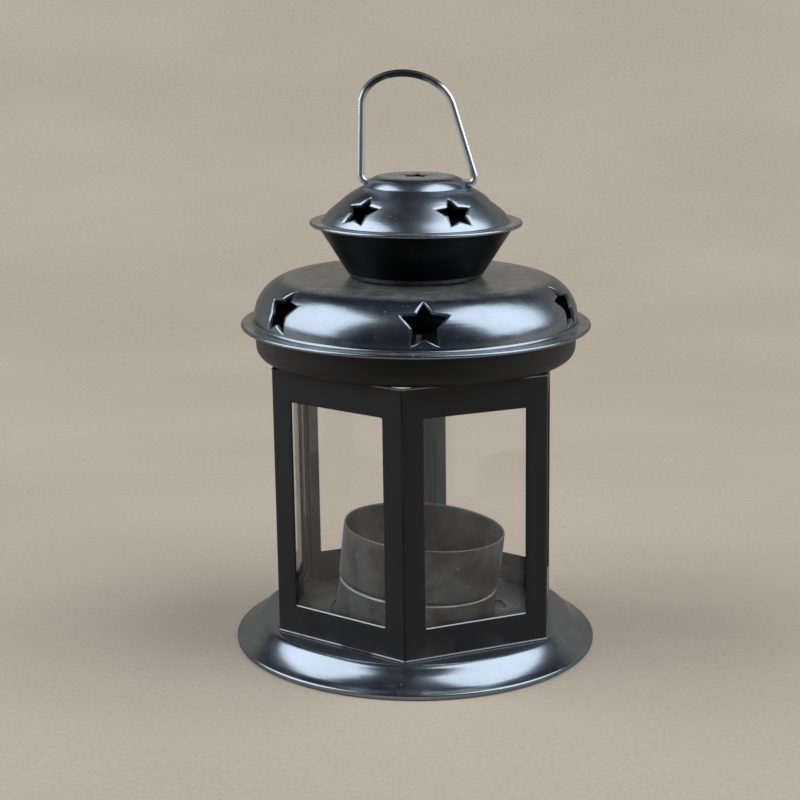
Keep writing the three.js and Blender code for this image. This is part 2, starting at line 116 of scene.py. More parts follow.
def linear(code: str) -> tuple[float, float, float, float]:
    """Turn an sRGB hex colour to linear: c/12.92 in the toe, else ((c + 0.055)/1.055) to the power 2.4.

    Args:
        code: Colour as "#rrggbb".

    Returns:
        Linear red, green, blue and an alpha of 1.
    """
    channels = np.array([int(code[place : place + 2], 16) for place in (1, 3, 5)]) / 255.0
    toe = channels / 12.92
    curve = ((channels + 0.055) / 1.055) ** 2.4
    red, green, blue = np.where(channels <= 0.04045, toe, curve).tolist()
    return red, green, blue, 1.0


def per_mm(size: float) -> float:
    """Give the scale of a pattern whose grain is so many millimetres across."""
    return 1.0 / (size * MM)


def add_node(
    tree: Tree, kind: str, inputs: Union[dict[Any, Any], Sequence[Any]] = (), **settings: Any
) -> Any:
    """Add one node with its settings, values and links.

    Args:
        tree: Node tree of a material or of the world.
        kind: Blender's name of the node type, after its first word "ShaderNode".
        inputs: Values, or sockets to link, by the input's name or place, or in the inputs' own order.
        settings: Attributes of the node.

    Returns:
        The new node's outputs.
    """
    node = tree.nodes.new(f"ShaderNode{kind}")
    for name, value in settings.items():
        setattr(node, name, value)
    for key, value in inputs.items() if isinstance(inputs, dict) else enumerate(inputs):
        if isinstance(value, Socket):
            tree.links.new(value, node.inputs[key])
        else:
            node.inputs[key].default_value = value
    return node.outputs


@dataclass(frozen=True)
class Finish:
    """A finish that makes its own node material.

    A band is where in a pattern's values a mark sets in and is full. A pair of gloss or metallic values is
    for the low and the high end of the pattern that it follows.

    Attributes:
        name: Name of the material.
    """

    name: str

    def surface(self, tree: Tree, spot: Socket) -> Socket:
        """Mix the finish from the spot's place on the piece, and give its shader."""
        raise NotImplementedError

    def material(self) -> bpy.types.Material:
        """Make the material, with patterns that lie still on each piece.

        Returns:
            The new material.
        """
        material = bpy.data.materials.new(self.name)
        material.use_nodes = True
        tree = material.node_tree
        tree.nodes.clear()
        spot = add_node(tree, "TexCoord")["Object"]
        add_node(tree, "OutputMaterial", {"Surface": self.surface(tree, spot)})
        return material


@dataclass(frozen=True)
class LacqueredTin(Finish):
    """Tinplate under a blue-black stoving lacquer: a dark steel sheen with wide soft highlights.

    The lacquer follows the drawn metal, so its gloss wavers a little. Dust lies in mottled patches on
    level tops, and specks and a little grime cling anywhere. The specks are drawn coarser than grains of
    dust, so that they show.
    """

    name: str = "blue_black_lacquered_tin"
    deep: str = "#727c85"
    pale: str = "#8f9aa4"
    dust: str = "#99968d"
    grazing: str = "#c2c6ca"
    metallic: Pair = (1.0, 0.3)
    gloss: Pair = (0.2, 0.29)
    cloud_mm: float = 11.0
    speck_mm: float = 0.55
    speck_band: Pair = (0.69, 0.76)
    speck: float = 0.55
    level: float = 0.93
    film: float = 0.57
    mottle_mm: float = 3.0
    patch_band: Pair = (0.35, 0.65)
    patch_share: Pair = (0.55, 1.3)
    grime_band: Pair = (0.5, 0.7)
    grime: float = 0.05
    peel_mm: float = 1.6
    peel: float = 0.12
    peel_depth_mm: float = 0.05

    def surface(self, tree: Tree, spot: Socket) -> Socket:
        """Cloud the lacquer, dull it by dust, specks and grime, and waver its gloss and skin.

        Args:
            tree: Node tree of the material.
            spot: Place on the piece.

        Returns:
            Shader of the finish.
        """
        cloud = add_node(
            tree, "TexNoise", {"Vector": spot, "Scale": per_mm(self.cloud_mm), "Detail": 4.0}
        )[0]
        tones = {FACTOR: cloud, FIRST: linear(self.deep), SECOND: linear(self.pale)}
        shade = add_node(tree, "Mix", tones, data_type="RGBA")[BLEND]
        grit = add_node(
            tree, "TexNoise", {"Vector": spot, "Scale": per_mm(self.speck_mm), "Detail": 1.0}
        )[0]
        specks = add_node(tree, "MapRange", [grit, *self.speck_band, 0.0, self.speck])[0]
        normal = add_node(tree, "NewGeometry")["Normal"]
        upward = add_node(tree, "SeparateXYZ", [normal])["Z"]
        film = add_node(tree, "MapRange", [upward, self.level, 1.0, 0.0, self.film])[0]
        blotch = {"Vector": spot, "Scale": per_mm(self.mottle_mm), "Detail": 8.0, "Roughness": 0.65}
        mottle = add_node(tree, "TexNoise", blotch)[0]
        patchy = add_node(tree, "MapRange", [mottle, *self.patch_band, *self.patch_share])[0]
        settled = add_node(tree, "Math", [film, patchy], operation="MULTIPLY")[0]
        grime = add_node(tree, "MapRange", [mottle, *self.grime_band, 0.0, self.grime])[0]
        lying = add_node(tree, "Math", [settled, grime], operation="MAXIMUM")[0]
        dusty = add_node(tree, "Math", [specks, lying], operation="MAXIMUM")[0]
        tones = {FACTOR: dusty, FIRST: shade, SECOND: linear(self.dust)}
        colour = add_node(tree, "Mix", tones, data_type="RGBA")[BLEND]
        bare = add_node(tree, "MapRange", [dusty, 0.0, 1.0, *self.metallic])[0]
        gloss = add_node(tree, "MapRange", [cloud, *NOISE_BAND, *self.gloss])[0]
        peel = add_node(
            tree, "TexNoise", {"Vector": spot, "Scale": per_mm(self.peel_mm), "Detail": 2.0}
        )[0]
        skin = {"Height": peel, "Strength": self.peel, "Distance": self.peel_depth_mm * MM}
        coat = {
            "Base Color": colour,
            "Metallic": bare,
            "Roughness": gloss,
            "Specular Tint": linear(self.grazing),
            "Normal": add_node(tree, "Bump", skin)[0],
        }
        return add_node(tree, "BsdfPrincipled", coat)[0]


@dataclass(frozen=True)
class FlatBlackPaint(Finish):
    """Flat black paint sprayed on folded tin: almost no sheen, faint rubbed streaks, dust at the foot.

    Its grain is drawn coarser than that of sprayed paint, so that it shows.
    """

    name: str = "flat_black_paint"
    deep: str = "#0a0c10"
    pale: str = "#111419"
    dust: str = "#3c3c3b"
    gloss: Pair = (0.42, 0.6)
    specular: float = 0.35
    streak_mm: float = 7.0
    streak_draw: float = 0.25
    grain_mm: float = 0.5
    grain_depth_mm: float = 0.03
    speck_band: Pair = (0.68, 0.78)
    speck: float = 0.5
    drift_mm: float = 9.0
    drift_band: Pair = (0.45, 0.72)
    drift_foot_mm: float = 6.5
    drift_top_mm: float = 13.5
    drift: float = 0.8

    def surface(self, tree: Tree, spot: Socket) -> Socket:
        """Draw upright streaks into the paint, grain it finely and let dust drift at its foot.

        Args:
            tree: Node tree of the material.
            spot: Place on the piece.

        Returns:
            Shader of the finish.
        """
        drawn = add_node(tree, "Mapping", {"Vector": spot, "Scale": (1.0, 1.0, self.streak_draw)})[0]
        rubbed = {"Vector": drawn, "Scale": per_mm(self.streak_mm), "Detail": 5.0}
        streak = add_node(tree, "TexNoise", rubbed)[0]
        tones = {FACTOR: streak, FIRST: linear(self.deep), SECOND: linear(self.pale)}
        shade = add_node(tree, "Mix", tones, data_type="RGBA")[BLEND]
        grain = add_node(
            tree, "TexNoise", {"Vector": spot, "Scale": per_mm(self.grain_mm), "Detail": 2.0}
        )[0]
        specks = add_node(tree, "MapRange", [grain, *self.speck_band, 0.0, self.speck])[0]
        height = add_node(tree, "SeparateXYZ", [spot])["Z"]
        foot, top = self.drift_foot_mm * MM, self.drift_top_mm * MM
        low = add_node(tree, "MapRange", [height, foot, top, self.drift, 0.0])[0]
        cloud = add_node(
            tree, "TexNoise", {"Vector": spot, "Scale": per_mm(self.drift_mm), "Detail": 5.0}
        )[0]
        patch = add_node(tree, "MapRange", [cloud, *self.drift_band, 0.0, 1.0])[0]
        drift = add_node(tree, "Math", [low, patch], operation="MULTIPLY")[0]
        dusty = add_node(tree, "Math", [specks, drift], operation="MAXIMUM")[0]
        tones = {FACTOR: dusty, FIRST: shade, SECOND: linear(self.dust)}
        colour = add_node(tree, "Mix", tones, data_type="RGBA")[BLEND]
        gloss = add_node(tree, "MapRange", [streak, *NOISE_BAND, *self.gloss])[0]
        skin = {"Height": grain, "Strength": 0.2, "Distance": self.grain_depth_mm * MM}
        coat = {
            "Base Color": colour,
            "Roughness": gloss,
            "Specular IOR Level": self.specular,
            "Normal": add_node(tree, "Bump", skin)[0],
        }
        return add_node(tree, "BsdfPrincipled", coat)[0]


@dataclass(frozen=True)
class BareSteel(Finish):
    """Steel laid bare, cut or drawn: bright silver that is finely scored.

    The scores are drawn coarser than a shear leaves them, so that they show. Where a paint is given, the
    steel shows only in chips through it.
    """

    name: str = "sheared_steel_edge"
    deep: str = "#75787b"
    pale: str = "#a2a5a8"
    metallic: float = 0.85
    gloss: Pair = (0.34, 0.5)
    score_mm: float = 0.45
    paint: Optional[str] = None
    chip_mm: float = 16.0
    chip_band: Pair = (0.42, 0.47)

    def surface(self, tree: Tree, spot: Socket) -> Socket:
        """Mix bright and dull steel by fine scores, and chip the paint off it where there is one.

        Args:
            tree: Node tree of the material.
            spot: Place on the piece.

        Returns:
            Shader of the finish.
        """
        score = add_node(
            tree, "TexNoise", {"Vector": spot, "Scale": per_mm(self.score_mm), "Detail": 3.0}
        )[0]
        tones = {FACTOR: score, FIRST: linear(self.deep), SECOND: linear(self.pale)}
        colour = add_node(tree, "Mix", tones, data_type="RGBA")[BLEND]
        gloss = add_node(tree, "MapRange", [score, *NOISE_BAND, *self.gloss])[0]
        bare: Any = self.metallic
        if self.paint is not None:
            flakes = {"Vector": spot, "Scale": per_mm(self.chip_mm), "Detail": 3.0}
            chip = add_node(tree, "TexNoise", flakes)[0]
            bare = add_node(tree, "MapRange", [chip, *self.chip_band, 0.0, self.metallic])[0]
            tones = {FACTOR: bare, FIRST: linear(self.paint), SECOND: colour}
            colour = add_node(tree, "Mix", tones, data_type="RGBA")[BLEND]
        metal = {"Base Color": colour, "Metallic": bare, "Roughness": gloss}
        return add_node(tree, "BsdfPrincipled", metal)[0]


@dataclass(frozen=True)
class DrawnWire(Finish):
    """Bright drawn steel wire: soft lengthwise glints, blackened where the flame's soot met its arch."""

    name: str = "drawn_steel_wire"
    bright: str = "#d3d8dd"
    black: str = "#22262b"
    gloss: Pair = (0.36, 0.42)
    soot: float = 0.94
    soot_from_mm: float = 134.6
    soot_to_mm: float = 138.2
    waver_mm: float = 2.0
    patch_mm: float = 5.0

    def surface(self, tree: Tree, spot: Socket) -> Socket:
        """Mix bright wire and its blackened arch by height, with a patchy border.

        Args:
            tree: Node tree of the material.
            spot: Place on the piece.

        Returns:
            Shader of the finish.
        """
        height = add_node(tree, "SeparateXYZ", [spot])["Z"]
        patch = add_node(
            tree, "TexNoise", {"Vector": spot, "Scale": per_mm(self.patch_mm), "Detail": 4.0}
        )[0]
        waver = self.waver_mm * MM
        uneven = add_node(tree, "MapRange", [patch, *NOISE_BAND, -waver, waver])[0]
        reach = add_node(tree, "Math", [height, uneven], operation="ADD")[0]
        border = [reach, self.soot_from_mm * MM, self.soot_to_mm * MM, 0.0, self.soot]
        soot = add_node(tree, "MapRange", border, interpolation_type="SMOOTHSTEP")[0]
        tones = {FACTOR: soot, FIRST: linear(self.bright), SECOND: linear(self.black)}
        colour = add_node(tree, "Mix", tones, data_type="RGBA")[BLEND]
        gloss = add_node(tree, "MapRange", [soot, 0.0, 1.0, *self.gloss])[0]
        metal = {"Base Color": colour, "Metallic": 1.0, "Roughness": gloss}
        return add_node(tree, "BsdfPrincipled", metal)[0]


@dataclass(frozen=True)
class SmokedTin(Finish):
    """Dull tin that candles have smoked: flat grey with cloudy stains and pale wax specks."""

    name: str = "smoked_tin"
    deep: str = "#212428"
    pale: str = "#484b4d"
    wax: str = "#a6a6a2"
    metallic: float = 0.35
    gloss: Pair = (0.45, 0.65)
    stain_mm: float = 8.0
    stain_band: Pair = (0.42, 0.6)
    speck_mm: float = 1.1
    speck_band: Pair = (0.7, 0.76)
    speck: float = 0.7
    speck_depth_mm: float = 0.06

    def surface(self, tree: Tree, spot: Socket) -> Socket:
        """Stain the tin in clouds, and drop wax specks on it.

        Args:
            tree: Node tree of the material.
            spot: Place on the piece.

        Returns:
            Shader of the finish.
        """
        smoke = {"Vector": spot, "Scale": per_mm(self.stain_mm), "Detail": 6.0, "Roughness": 0.6}
        stain = add_node(tree, "TexNoise", smoke)[0]
        spread = add_node(tree, "MapRange", [stain, *self.stain_band, 0.0, 1.0])[0]
        tones = {FACTOR: spread, FIRST: linear(self.deep), SECOND: linear(self.pale)}
        shade = add_node(tree, "Mix", tones, data_type="RGBA")[BLEND]
        drops = add_node(
            tree, "TexNoise", {"Vector": spot, "Scale": per_mm(self.speck_mm), "Detail": 2.0}
        )[0]
        specks = add_node(tree, "MapRange", [drops, *self.speck_band, 0.0, self.speck])[0]
        tones = {FACTOR: specks, FIRST: shade, SECOND: linear(self.wax)}
        colour = add_node(tree, "Mix", tones, data_type="RGBA")[BLEND]
        gloss = add_node(tree, "MapRange", [stain, *NOISE_BAND, *self.gloss])[0]
        skin = {"Height": drops, "Strength": 0.3, "Distance": self.speck_depth_mm * MM}
        bump = add_node(tree, "Bump", skin)[0]
        tin = {"Base Color": colour, "Metallic": self.metallic, "Roughness": gloss, "Normal": bump}
        return add_node(tree, "BsdfPrincipled", tin)[0]


@dataclass(frozen=True)
class WindowGlass(Finish):
    """Clear cut sheet glass: colourless, sharp reflections, a few smears of handling."""

    name: str = "clear_sheet_glass"
    colour: str = "#ffffff"
    ior: float = 1.42
    smear_mm: float = 16.0
    smear_band: Pair = (0.45, 0.75)
    smear: float = 0.06

    def surface(self, tree: Tree, spot: Socket) -> Socket:
        """Smear the gloss a little, and let lamps' light through for shadows.

        Args:
            tree: Node tree of the material.
            spot: Place on the piece.

        Returns:
            Shader of the finish.
        """
        smear = add_node(
            tree, "TexNoise", {"Vector": spot, "Scale": per_mm(self.smear_mm), "Detail": 4.0}
        )[0]
        gloss = add_node(tree, "MapRange", [smear, *self.smear_band, 0.0, self.smear])[0]
        sheet = {
            "Base Color": linear(self.colour),
            "Roughness": gloss,
            "IOR": self.ior,
            "Transmission Weight": 1.0,
        }
        glass = add_node(tree, "BsdfPrincipled", sheet)[0]
        clear = add_node(tree, "BsdfTransparent", [linear(self.colour)])[0]
        shadow = add_node(tree, "LightPath")["Is Shadow Ray"]
        return add_node(tree, "MixShader", [shadow, glass, clear])[0]


@dataclass(frozen=True)
class BackdropPaper(Finish):
    """Matt beige card that floor and backdrop are one sheet of: cloudy tone, fine grain, no gloss.

    The grain is drawn coarser than paper's fibres, so that it shows.
    """

    name: str = "matt_beige_card"
    deep: str = "#a89b88"
    pale: str = "#bdb1a1"
    roughness: float = 0.9
    cloud_mm: float = 80.0
    cloud_band: Pair = (0.15, 0.85)
    stretch: float = 0.55
    grain_mm: float = 1.3
    grain: float = 0.42

    def surface(self, tree: Tree, spot: Socket) -> Socket:
        """Mix the two tones of the card by its clouds and by the paper's grain.

        Args:
            tree: Node tree of the material.
            spot: Place on the piece.

        Returns:
            Shader of the finish.
        """
        drawn = add_node(tree, "Mapping", {"Vector": spot, "Scale": (self.stretch, 1.0, 1.0)})[0]
        drift = {"Vector": drawn, "Scale": per_mm(self.cloud_mm), "Detail": 5.0}
        cloud = add_node(tree, "TexNoise", drift)[0]
        spread = add_node(tree, "MapRange", [cloud, *self.cloud_band, 0.0, 1.0])[0]
        grain = add_node(
            tree, "TexNoise", {"Vector": spot, "Scale": per_mm(self.grain_mm), "Detail": 3.0}
        )[0]
        fibre = add_node(tree, "MapRange", [grain, *NOISE_BAND, 0.0, 1.0])[0]
        tone = add_node(tree, "Mix", {FACTOR: self.grain, 2: spread, 3: fibre})[0]
        tones = {FACTOR: tone, FIRST: linear(self.deep), SECOND: linear(self.pale)}
        colour = add_node(tree, "Mix", tones, data_type="RGBA")[BLEND]
        card = {"Base Color": colour, "Roughness": self.roughness}
        return add_node(tree, "BsdfPrincipled", card)[0]


# Lines, grids and meshes


def rounded_line(
    corners: Sequence[Sequence[float]], fineness: float = 6.0, closest: float = 0.12
) -> Array:
    """Draw a line through corners whose angles are rounded by arcs that touch both sides.

    An arc's centre lies on the angle's bisector at radius / sin(half angle) from the corner.

    Args:
        corners: Rows of two coordinates and, where wanted, a rounding radius.
        fineness: Degrees of arc between two points.
        closest: Least length of arc between two points.

    Returns:
        Points of the line, one row each.
    """
    runs = [np.array([corners[0][:2]])]
    for before, corner, after in zip(corners[:-2], corners[1:-1], corners[2:]):
        radius = corner[2] if len(corner) > 2 else 0.0
        point = np.array(corner[:2])
        if radius <= 0.0:
            runs.append(point[None])
            continue
        back = np.array(before[:2]) - point
        ahead = np.array(after[:2]) - point
        back /= np.linalg.norm(back)
        ahead /= np.linalg.norm(ahead)
        half = math.acos(float(np.clip(back @ ahead, -1.0, 1.0))) / 2.0
        middle = point + (back + ahead) / np.linalg.norm(back + ahead) * radius / math.sin(half)
        start = point + back * radius / math.tan(half) - middle
        end = point + ahead * radius / math.tan(half) - middle
        sweep = math.pi - 2.0 * half
        steps = min(math.degrees(sweep) / fineness, sweep * radius / closest)
        share = np.linspace(0.0, 1.0, max(3, math.ceil(steps) + 1))[:, None]
        arc = np.sin((1.0 - share) * sweep) * start + np.sin(share * sweep) * end
        runs.append(middle + arc / math.sin(sweep))
    runs.append(np.array([corners[-1][:2]]))
    line = np.concatenate(runs)
    apart = np.linalg.norm(np.diff(line, axis=0), axis=1)
    return line[np.concatenate([[True], apart > SAME_POINT])]


def lengths_along(line: Array) -> Array:
    """Give the length run at each point of a line, from 0 at its first point."""
    steps = np.linalg.norm(np.diff(line, axis=0), axis=1)
    return np.concatenate([[0.0], np.cumsum(steps)])


def with_steps(line: Array, step: float) -> Array:
    """Add points to a line so that no two are further apart than a step.

    Args:
        line: Points of the line.
        step: Greatest distance between neighbours.

    Returns:
        The old points with the added ones among them.
    """
    run = lengths_along(line)
    even = np.arange(step, run[-1], step)
    crowded = 0.25 * step
    free = np.abs(even[:, None] - run[None, :]).min(axis=1) > crowded
    stations = np.sort(np.concatenate([run, even[free]]))
    return np.stack([np.interp(stations, run, line[:, axis]) for axis in range(line.shape[1])], axis=1)


def mitred_normals(line: Array) -> Array:
    """Give left-hand normals of a line, stretched at bends so that an offset keeps its gauge.

    At a bend it is the sum of both sides' normals over one plus their dot product.

    Args:
        line: Points of an open line in the plane.

    Returns:
        One vector for each point.
    """
    way = np.diff(line, axis=0)
    way /= np.linalg.norm(way, axis=1, keepdims=True)
    sides = np.stack([-way[:, 1], way[:, 0]], axis=1)
    before = np.concatenate([sides[:1], sides])
    after = np.concatenate([sides, sides[-1:]])
    return (before + after) / (1.0 + np.sum(before * after, axis=1, keepdims=True))


def turned(section: Array, azimuths: Array) -> Array:
    """Turn points of a section about the lantern's axis: x = r sin a, y = -r cos a, z stays.

    Args:
        section: Radius and height in millimetres in the last axis, of shape (rows, 2) or (rows, turns, 2).
        azimuths: Azimuths in radians, of shape (turns,) or (rows, turns).

    Returns:
        Points in metres, of shape (rows, turns, 3).
    """
    if section.ndim == 2:
        section = section[:, None, :]
    radius, height = section[..., 0], section[..., 1]
    points = np.broadcast_arrays(radius * np.sin(azimuths), -radius * np.cos(azimuths), height)
    return np.stack(points, axis=-1) * MM


def swept(section: Array, path: Array, across: Array, scale: Optional[Array] = None) -> Array:
    """Carry a flat section along a path: point = path + x across + y (across x way).

    Args:
        section: Section points x, y in millimetres.
        path: Path points in millimetres.
        across: Direction of the section's x, one vector or one for each path point.
        scale: Factors on x and y for each path point.

    Returns:
        Points in metres, of shape (path, section, 3), with both ends drawn together to close the shape.
    """
    way = np.gradient(path, axis=0)
    way /= np.linalg.norm(way, axis=1, keepdims=True)
    across = np.broadcast_to(across, path.shape)
    up = np.cross(across, way)
    grown = section[None] * (np.ones((len(path), 1, 2)) if scale is None else scale[:, None, :])
    rows = path[:, None] + grown[..., :1] * across[:, None] + grown[..., 1:] * up[:, None]
    ends = [np.broadcast_to(row.mean(axis=0), row.shape)[None] for row in (rows[0], rows[-1])]
    return np.concatenate([ends[0], rows, ends[1]]) * MM


def disc_section(radius: float, sides: int) -> Array:
    """Give a round section of so many sides."""
    angle = np.linspace(0.0, 2.0 * math.pi, sides, endpoint=False)
    return radius * np.stack([np.cos(angle), np.sin(angle)], axis=1)


def plate_section(width: float, thickness: float, rounding: float, steps: int = 4) -> Array:
    """Give a flat bar's section with rounded edges.

    Args:
        width: Size along x.
        thickness: Size along y.
        rounding: Radius of its four edges.
        steps: Points of each edge's arc.

    Returns:
        Closed loop of points, counter-clockwise.
    """
    quarter = np.linspace(0.0, math.pi / 2.0, steps)
    angle = np.concatenate([quarter + turn * math.pi / 2.0 for turn in range(4)])
    sign_x = np.repeat([1.0, -1.0, -1.0, 1.0], steps)
    sign_y = np.repeat([1.0, 1.0, -1.0, -1.0], steps)
    x = sign_x * (width / 2.0 - rounding) + rounding * np.cos(angle)
    y = sign_y * (thickness / 2.0 - rounding) + rounding * np.sin(angle)
    return np.stack([x, y], axis=1)


class MeshDraft:
    """Grids of quads that are welded along their shared borders into one closed mesh."""

    def __init__(self) -> None:
        """Start with no points."""
        self.points: list[Array] = []
        self.quads: list[Array] = []
        self.faces: list[Array] = []
        self.count = 0

    def grid(
        self,
        points: Array,
        wrap: tuple[bool, bool] = (False, False),
        face: Face = Face.SKIN,
        rim: Optional[Array] = None,
    ) -> None:
        """Add a grid of quads, one between each four neighbouring points.

        Args:
            points: Points in metres, of shape (rows, columns, 3).
            wrap: Whether the last row joins the first, and the last column the first.
            face: Material place of the grid.
            rim: Whether each row, or each point, starts quads of the second material.
        """
        rows, columns = points.shape[:2]
        index = np.arange(rows * columns).reshape(rows, columns) + self.count
        if wrap[0]:
            index = np.concatenate([index, index[:1]], axis=0)
        if wrap[1]:
            index = np.concatenate([index, index[:, :1]], axis=1)
        corners = [index[:-1, :-1], index[1:, :-1], index[1:, 1:], index[:-1, 1:]]
        quads = np.stack(corners, axis=-1).reshape(-1, 4)
        self.points.append(points.reshape(-1, 3))
        self.quads.append(quads)
        places = np.full((index.shape[0] - 1, index.shape[1] - 1), face.value)
        if rim is not None:
            places[rim[: len(places)]] = Face.EDGE.value
        self.faces.append(places.reshape(-1))
        self.count += rows * columns

    def piece(
        self, name: str, finishes: Sequence[bpy.types.Material], sharp: float = 32.0
    ) -> bpy.types.Object:
        """Weld the grids, turn every face outwards and put the mesh into the scene.

        Args:
            name: Name of the piece.
            finishes: Materials in the order of Face.
            sharp: Angle in degrees past which an edge stays sharp.

        Returns:
            The new object, at the origin.
        """
        mesh = bpy.data.meshes.new(name)
        mesh.from_pydata(np.concatenate(self.points).tolist(), [], np.concatenate(self.quads).tolist())
        mesh.polygons.foreach_set("material_index", np.concatenate(self.faces).astype(np.int32))
        for finish in finishes:
            mesh.materials.append(finish)
        shape = bmesh.new()
        shape.from_mesh(mesh)
        bmesh.ops.remove_doubles(shape, verts=shape.verts, dist=WELD)
        bmesh.ops.dissolve_degenerate(shape, dist=SLIVER, edges=shape.edges)
        bmesh.ops.recalc_face_normals(shape, faces=shape.faces)
        open_edges = sum(1 for edge in shape.edges if not edge.is_manifold)
        shape.to_mesh(mesh)
        shape.free()
        mesh.shade_smooth()
        mesh.set_sharp_from_angle(angle=math.radians(sharp))
        mesh.update()
        piece = bpy.data.objects.new(name, mesh)
        bpy.context.scene.collection.objects.link(piece)
        LOG.info("%s: %d faces, %d open edges", name, len(mesh.polygons), open_edges)
        return piece


def settle(piece: bpy.types.Object, body: Body, slot: Slot, *nodes: str) -> None:
    """Let a piece ride on its body and stand for its nodes.

    Args:
        piece: The dressed piece.
        body: Body that it moves with.
        slot: Not used.
        nodes: CAD nodes that it takes the place of.
    """
    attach(piece, body.value)
    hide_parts(*nodes)


def wall_azimuth(wall: Any) -> Any:
    """Give the azimuth of a wall's middle in radians, with walls counted from the front corner."""
    return (wall + 0.5) * 2.0 * math.pi / PANELS


def wall_axes(wall: int) -> tuple[Array, Array]:
    """Give a wall's directions.

    Args:
        wall: Number of the wall from the front corner to the right.

    Returns:
        The way out of the wall and the way along it to the right.
    """
    azimuth = wall_azimuth(wall)
    outward = np.array([math.sin(azimuth), -math.cos(azimuth), 0.0])
    across = np.array([math.cos(azimuth), math.sin(azimuth), 0.0])
    return outward, across


# Pressed sheet


@dataclass(frozen=True)
class SheetFace:
    """One face of a pressing in section, with the sheet on one side of it.

    Attributes:
        corners: Rows of radius, height and rounding in millimetres.
        side: Side of the line on which the sheet lies.
        gauge: Thickness of the sheet.
        step: Greatest distance between two points of the line.
    """

    corners: tuple[tuple[float, ...], ...]
    side: SheetSide
    gauge: float = 0.4
    step: float = 0.9

    @cached_property
    def line(self) -> Array:
        """Points of the face, with arcs at its rounded corners."""
        return with_steps(rounded_line(self.corners), self.step)

    @cached_property
    def stations(self) -> Array:
        """Length run along the face at each of its points."""
        return lengths_along(self.line)

    @cached_property
    def inward(self) -> Array:
        """Vectors from the face into the sheet."""
        return mitred_normals(self.line) * self.side.value

    def at(self, station: Array, depth: Any = 0.0) -> Array:
        """Give points in the sheet: the face's point at a station plus depth times its inward vector.

        Args:
            station: Lengths along the face.
            depth: Depths below the face.

        Returns:
            Radius and height in the last axis.
        """
        parts = [
            np.interp(station, self.stations, self.line[:, axis])
            + depth * np.interp(station, self.stations, self.inward[:, axis])
            for axis in (0, 1)
        ]
        return np.stack(np.broadcast_arrays(*parts), axis=-1)

    @property
    def end(self) -> int:
        """Place of the line's last point."""
        return len(self.line) - 1

    def nearest(self, radius: float, height: float) -> int:
        """Give the place in the line of the point nearest to a radius and height."""
        return int(np.argmin(np.hypot(self.line[:, 0] - radius, self.line[:, 1] - height)))

    def layers(self, first: int, last: int) -> tuple[Array, Array]:
        """Give both sides of a stretch of the sheet.

        Args:
            first: Place of its first point in the line.
            last: Place of its last point.

        Returns:
            The face from first to last, and the back from last to first.
        """
        span = slice(first, last + 1)
        front = self.line[span]
        back = front + self.gauge * self.inward[span]
        return front, back[::-1]

    def both(self, first: int, last: int) -> Array:
        """Run down the back of the sheet from last to first and up its face again, as one line."""
        front, back = self.layers(first, last)
        return np.concatenate([back, front])

    def ends(self, first: int, last: int) -> Array:
        """Run along the face from first to last and back along the sheet's other side."""
        return np.concatenate(self.layers(first, last))


@dataclass(frozen=True)
class Aperture:
    """A hole through a pressing, round a middle on its face.

    Attributes:
        station: Length along the face at the hole's middle.
        burr: Depth to which the cut edge is drawn through the sheet.
        lip: Depth to which the face is drawn in at the cut.
        bend: Distance from the cut over which the face is drawn in.
        grow: How much wider the hole is on the sheet's back.
    """

    station: float
    burr: float = 0.85
    lip: float = 0.16
    bend: float = 0.4
    grow: float = 0.16

    def bearings(self, face: SheetFace, border: Array) -> Array:
        """Give the bearing of each border point from the hole's middle, from up the face to the right."""
        radius = face.at(np.array(self.station))[0]
        return np.arctan2(border[:, 0] * radius, self.station - border[:, 1])

    def outline(self, face: SheetFace, bearings: Array, grow: float = 0.0) -> Array:
        """Give the hole's edge at each bearing as azimuth offset and station."""
        raise NotImplementedError


@dataclass(frozen=True)
class StarCut(Aperture):
    """A five-pointed star that points up the face.

    Attributes:
        reach: Length from its middle to a tip.
        waist: Share of that length at its inner corners.
        blunt: Share of the reach at which a tip is rounded off.
        stretch: How much longer it is up the face.
    """

    reach: float = 5.75
    waist: float = 0.52
    blunt: float = 0.955
    stretch: float = 1.0

    def radius(self, bearing: Array) -> Array:
        """Give the star's edge from its middle: on a line from tip R to inner corner w at 36 degrees.

        On that line r = R w sin 36 / (R sin b + w sin(36 - b)) with b the bearing from the nearest tip.

        Args:
            bearing: Bearings in radians from the upper tip.

        Returns:
            Distances in millimetres.
        """
        near = np.abs((bearing + STAR_FOLD) % (2.0 * STAR_FOLD) - STAR_FOLD)
        inner = self.reach * self.waist
        edge = self.reach * inner * math.sin(STAR_FOLD)
        edge = edge / (self.reach * np.sin(near) + inner * np.sin(STAR_FOLD - near))
        return np.minimum(edge, self.reach * self.blunt)

    def bearings(self, face: SheetFace, border: Array) -> Array:
        """Give the border's bearings, with the nearest moved to the star's ten corners.

        Args:
            face: Face of the pressing.
            border: Azimuth offset and station of each border point.

        Returns:
            Bearings in radians from up the face to the right.
        """
        bearing = Aperture.bearings(self, face, border)
        corners = np.radians(np.arange(-180.0, 180.0, 36.0))
        apart = np.abs((bearing[:, None] - corners[None] + math.pi) % (2.0 * math.pi) - math.pi)
        bearing[np.argmin(apart, axis=0)] = corners
        return bearing

    def outline(self, face: SheetFace, bearings: Array, grow: float = 0.0) -> Array:
        """Lay the flat star on the face: up along the line, sideways straight across.

        Args:
            face: Face of the pressing.
            bearings: Bearings from the star's middle.
            grow: How much wider the star is all round.

        Returns:
            Azimuth offset and station of its edge at each bearing.
        """
        radius = self.radius(bearings) + grow
        station = self.station - self.stretch * radius * np.cos(bearings)
        azimuth = np.arcsin(radius * np.sin(bearings) / face.at(station)[..., 0])
        return np.stack([azimuth, station], axis=-1)


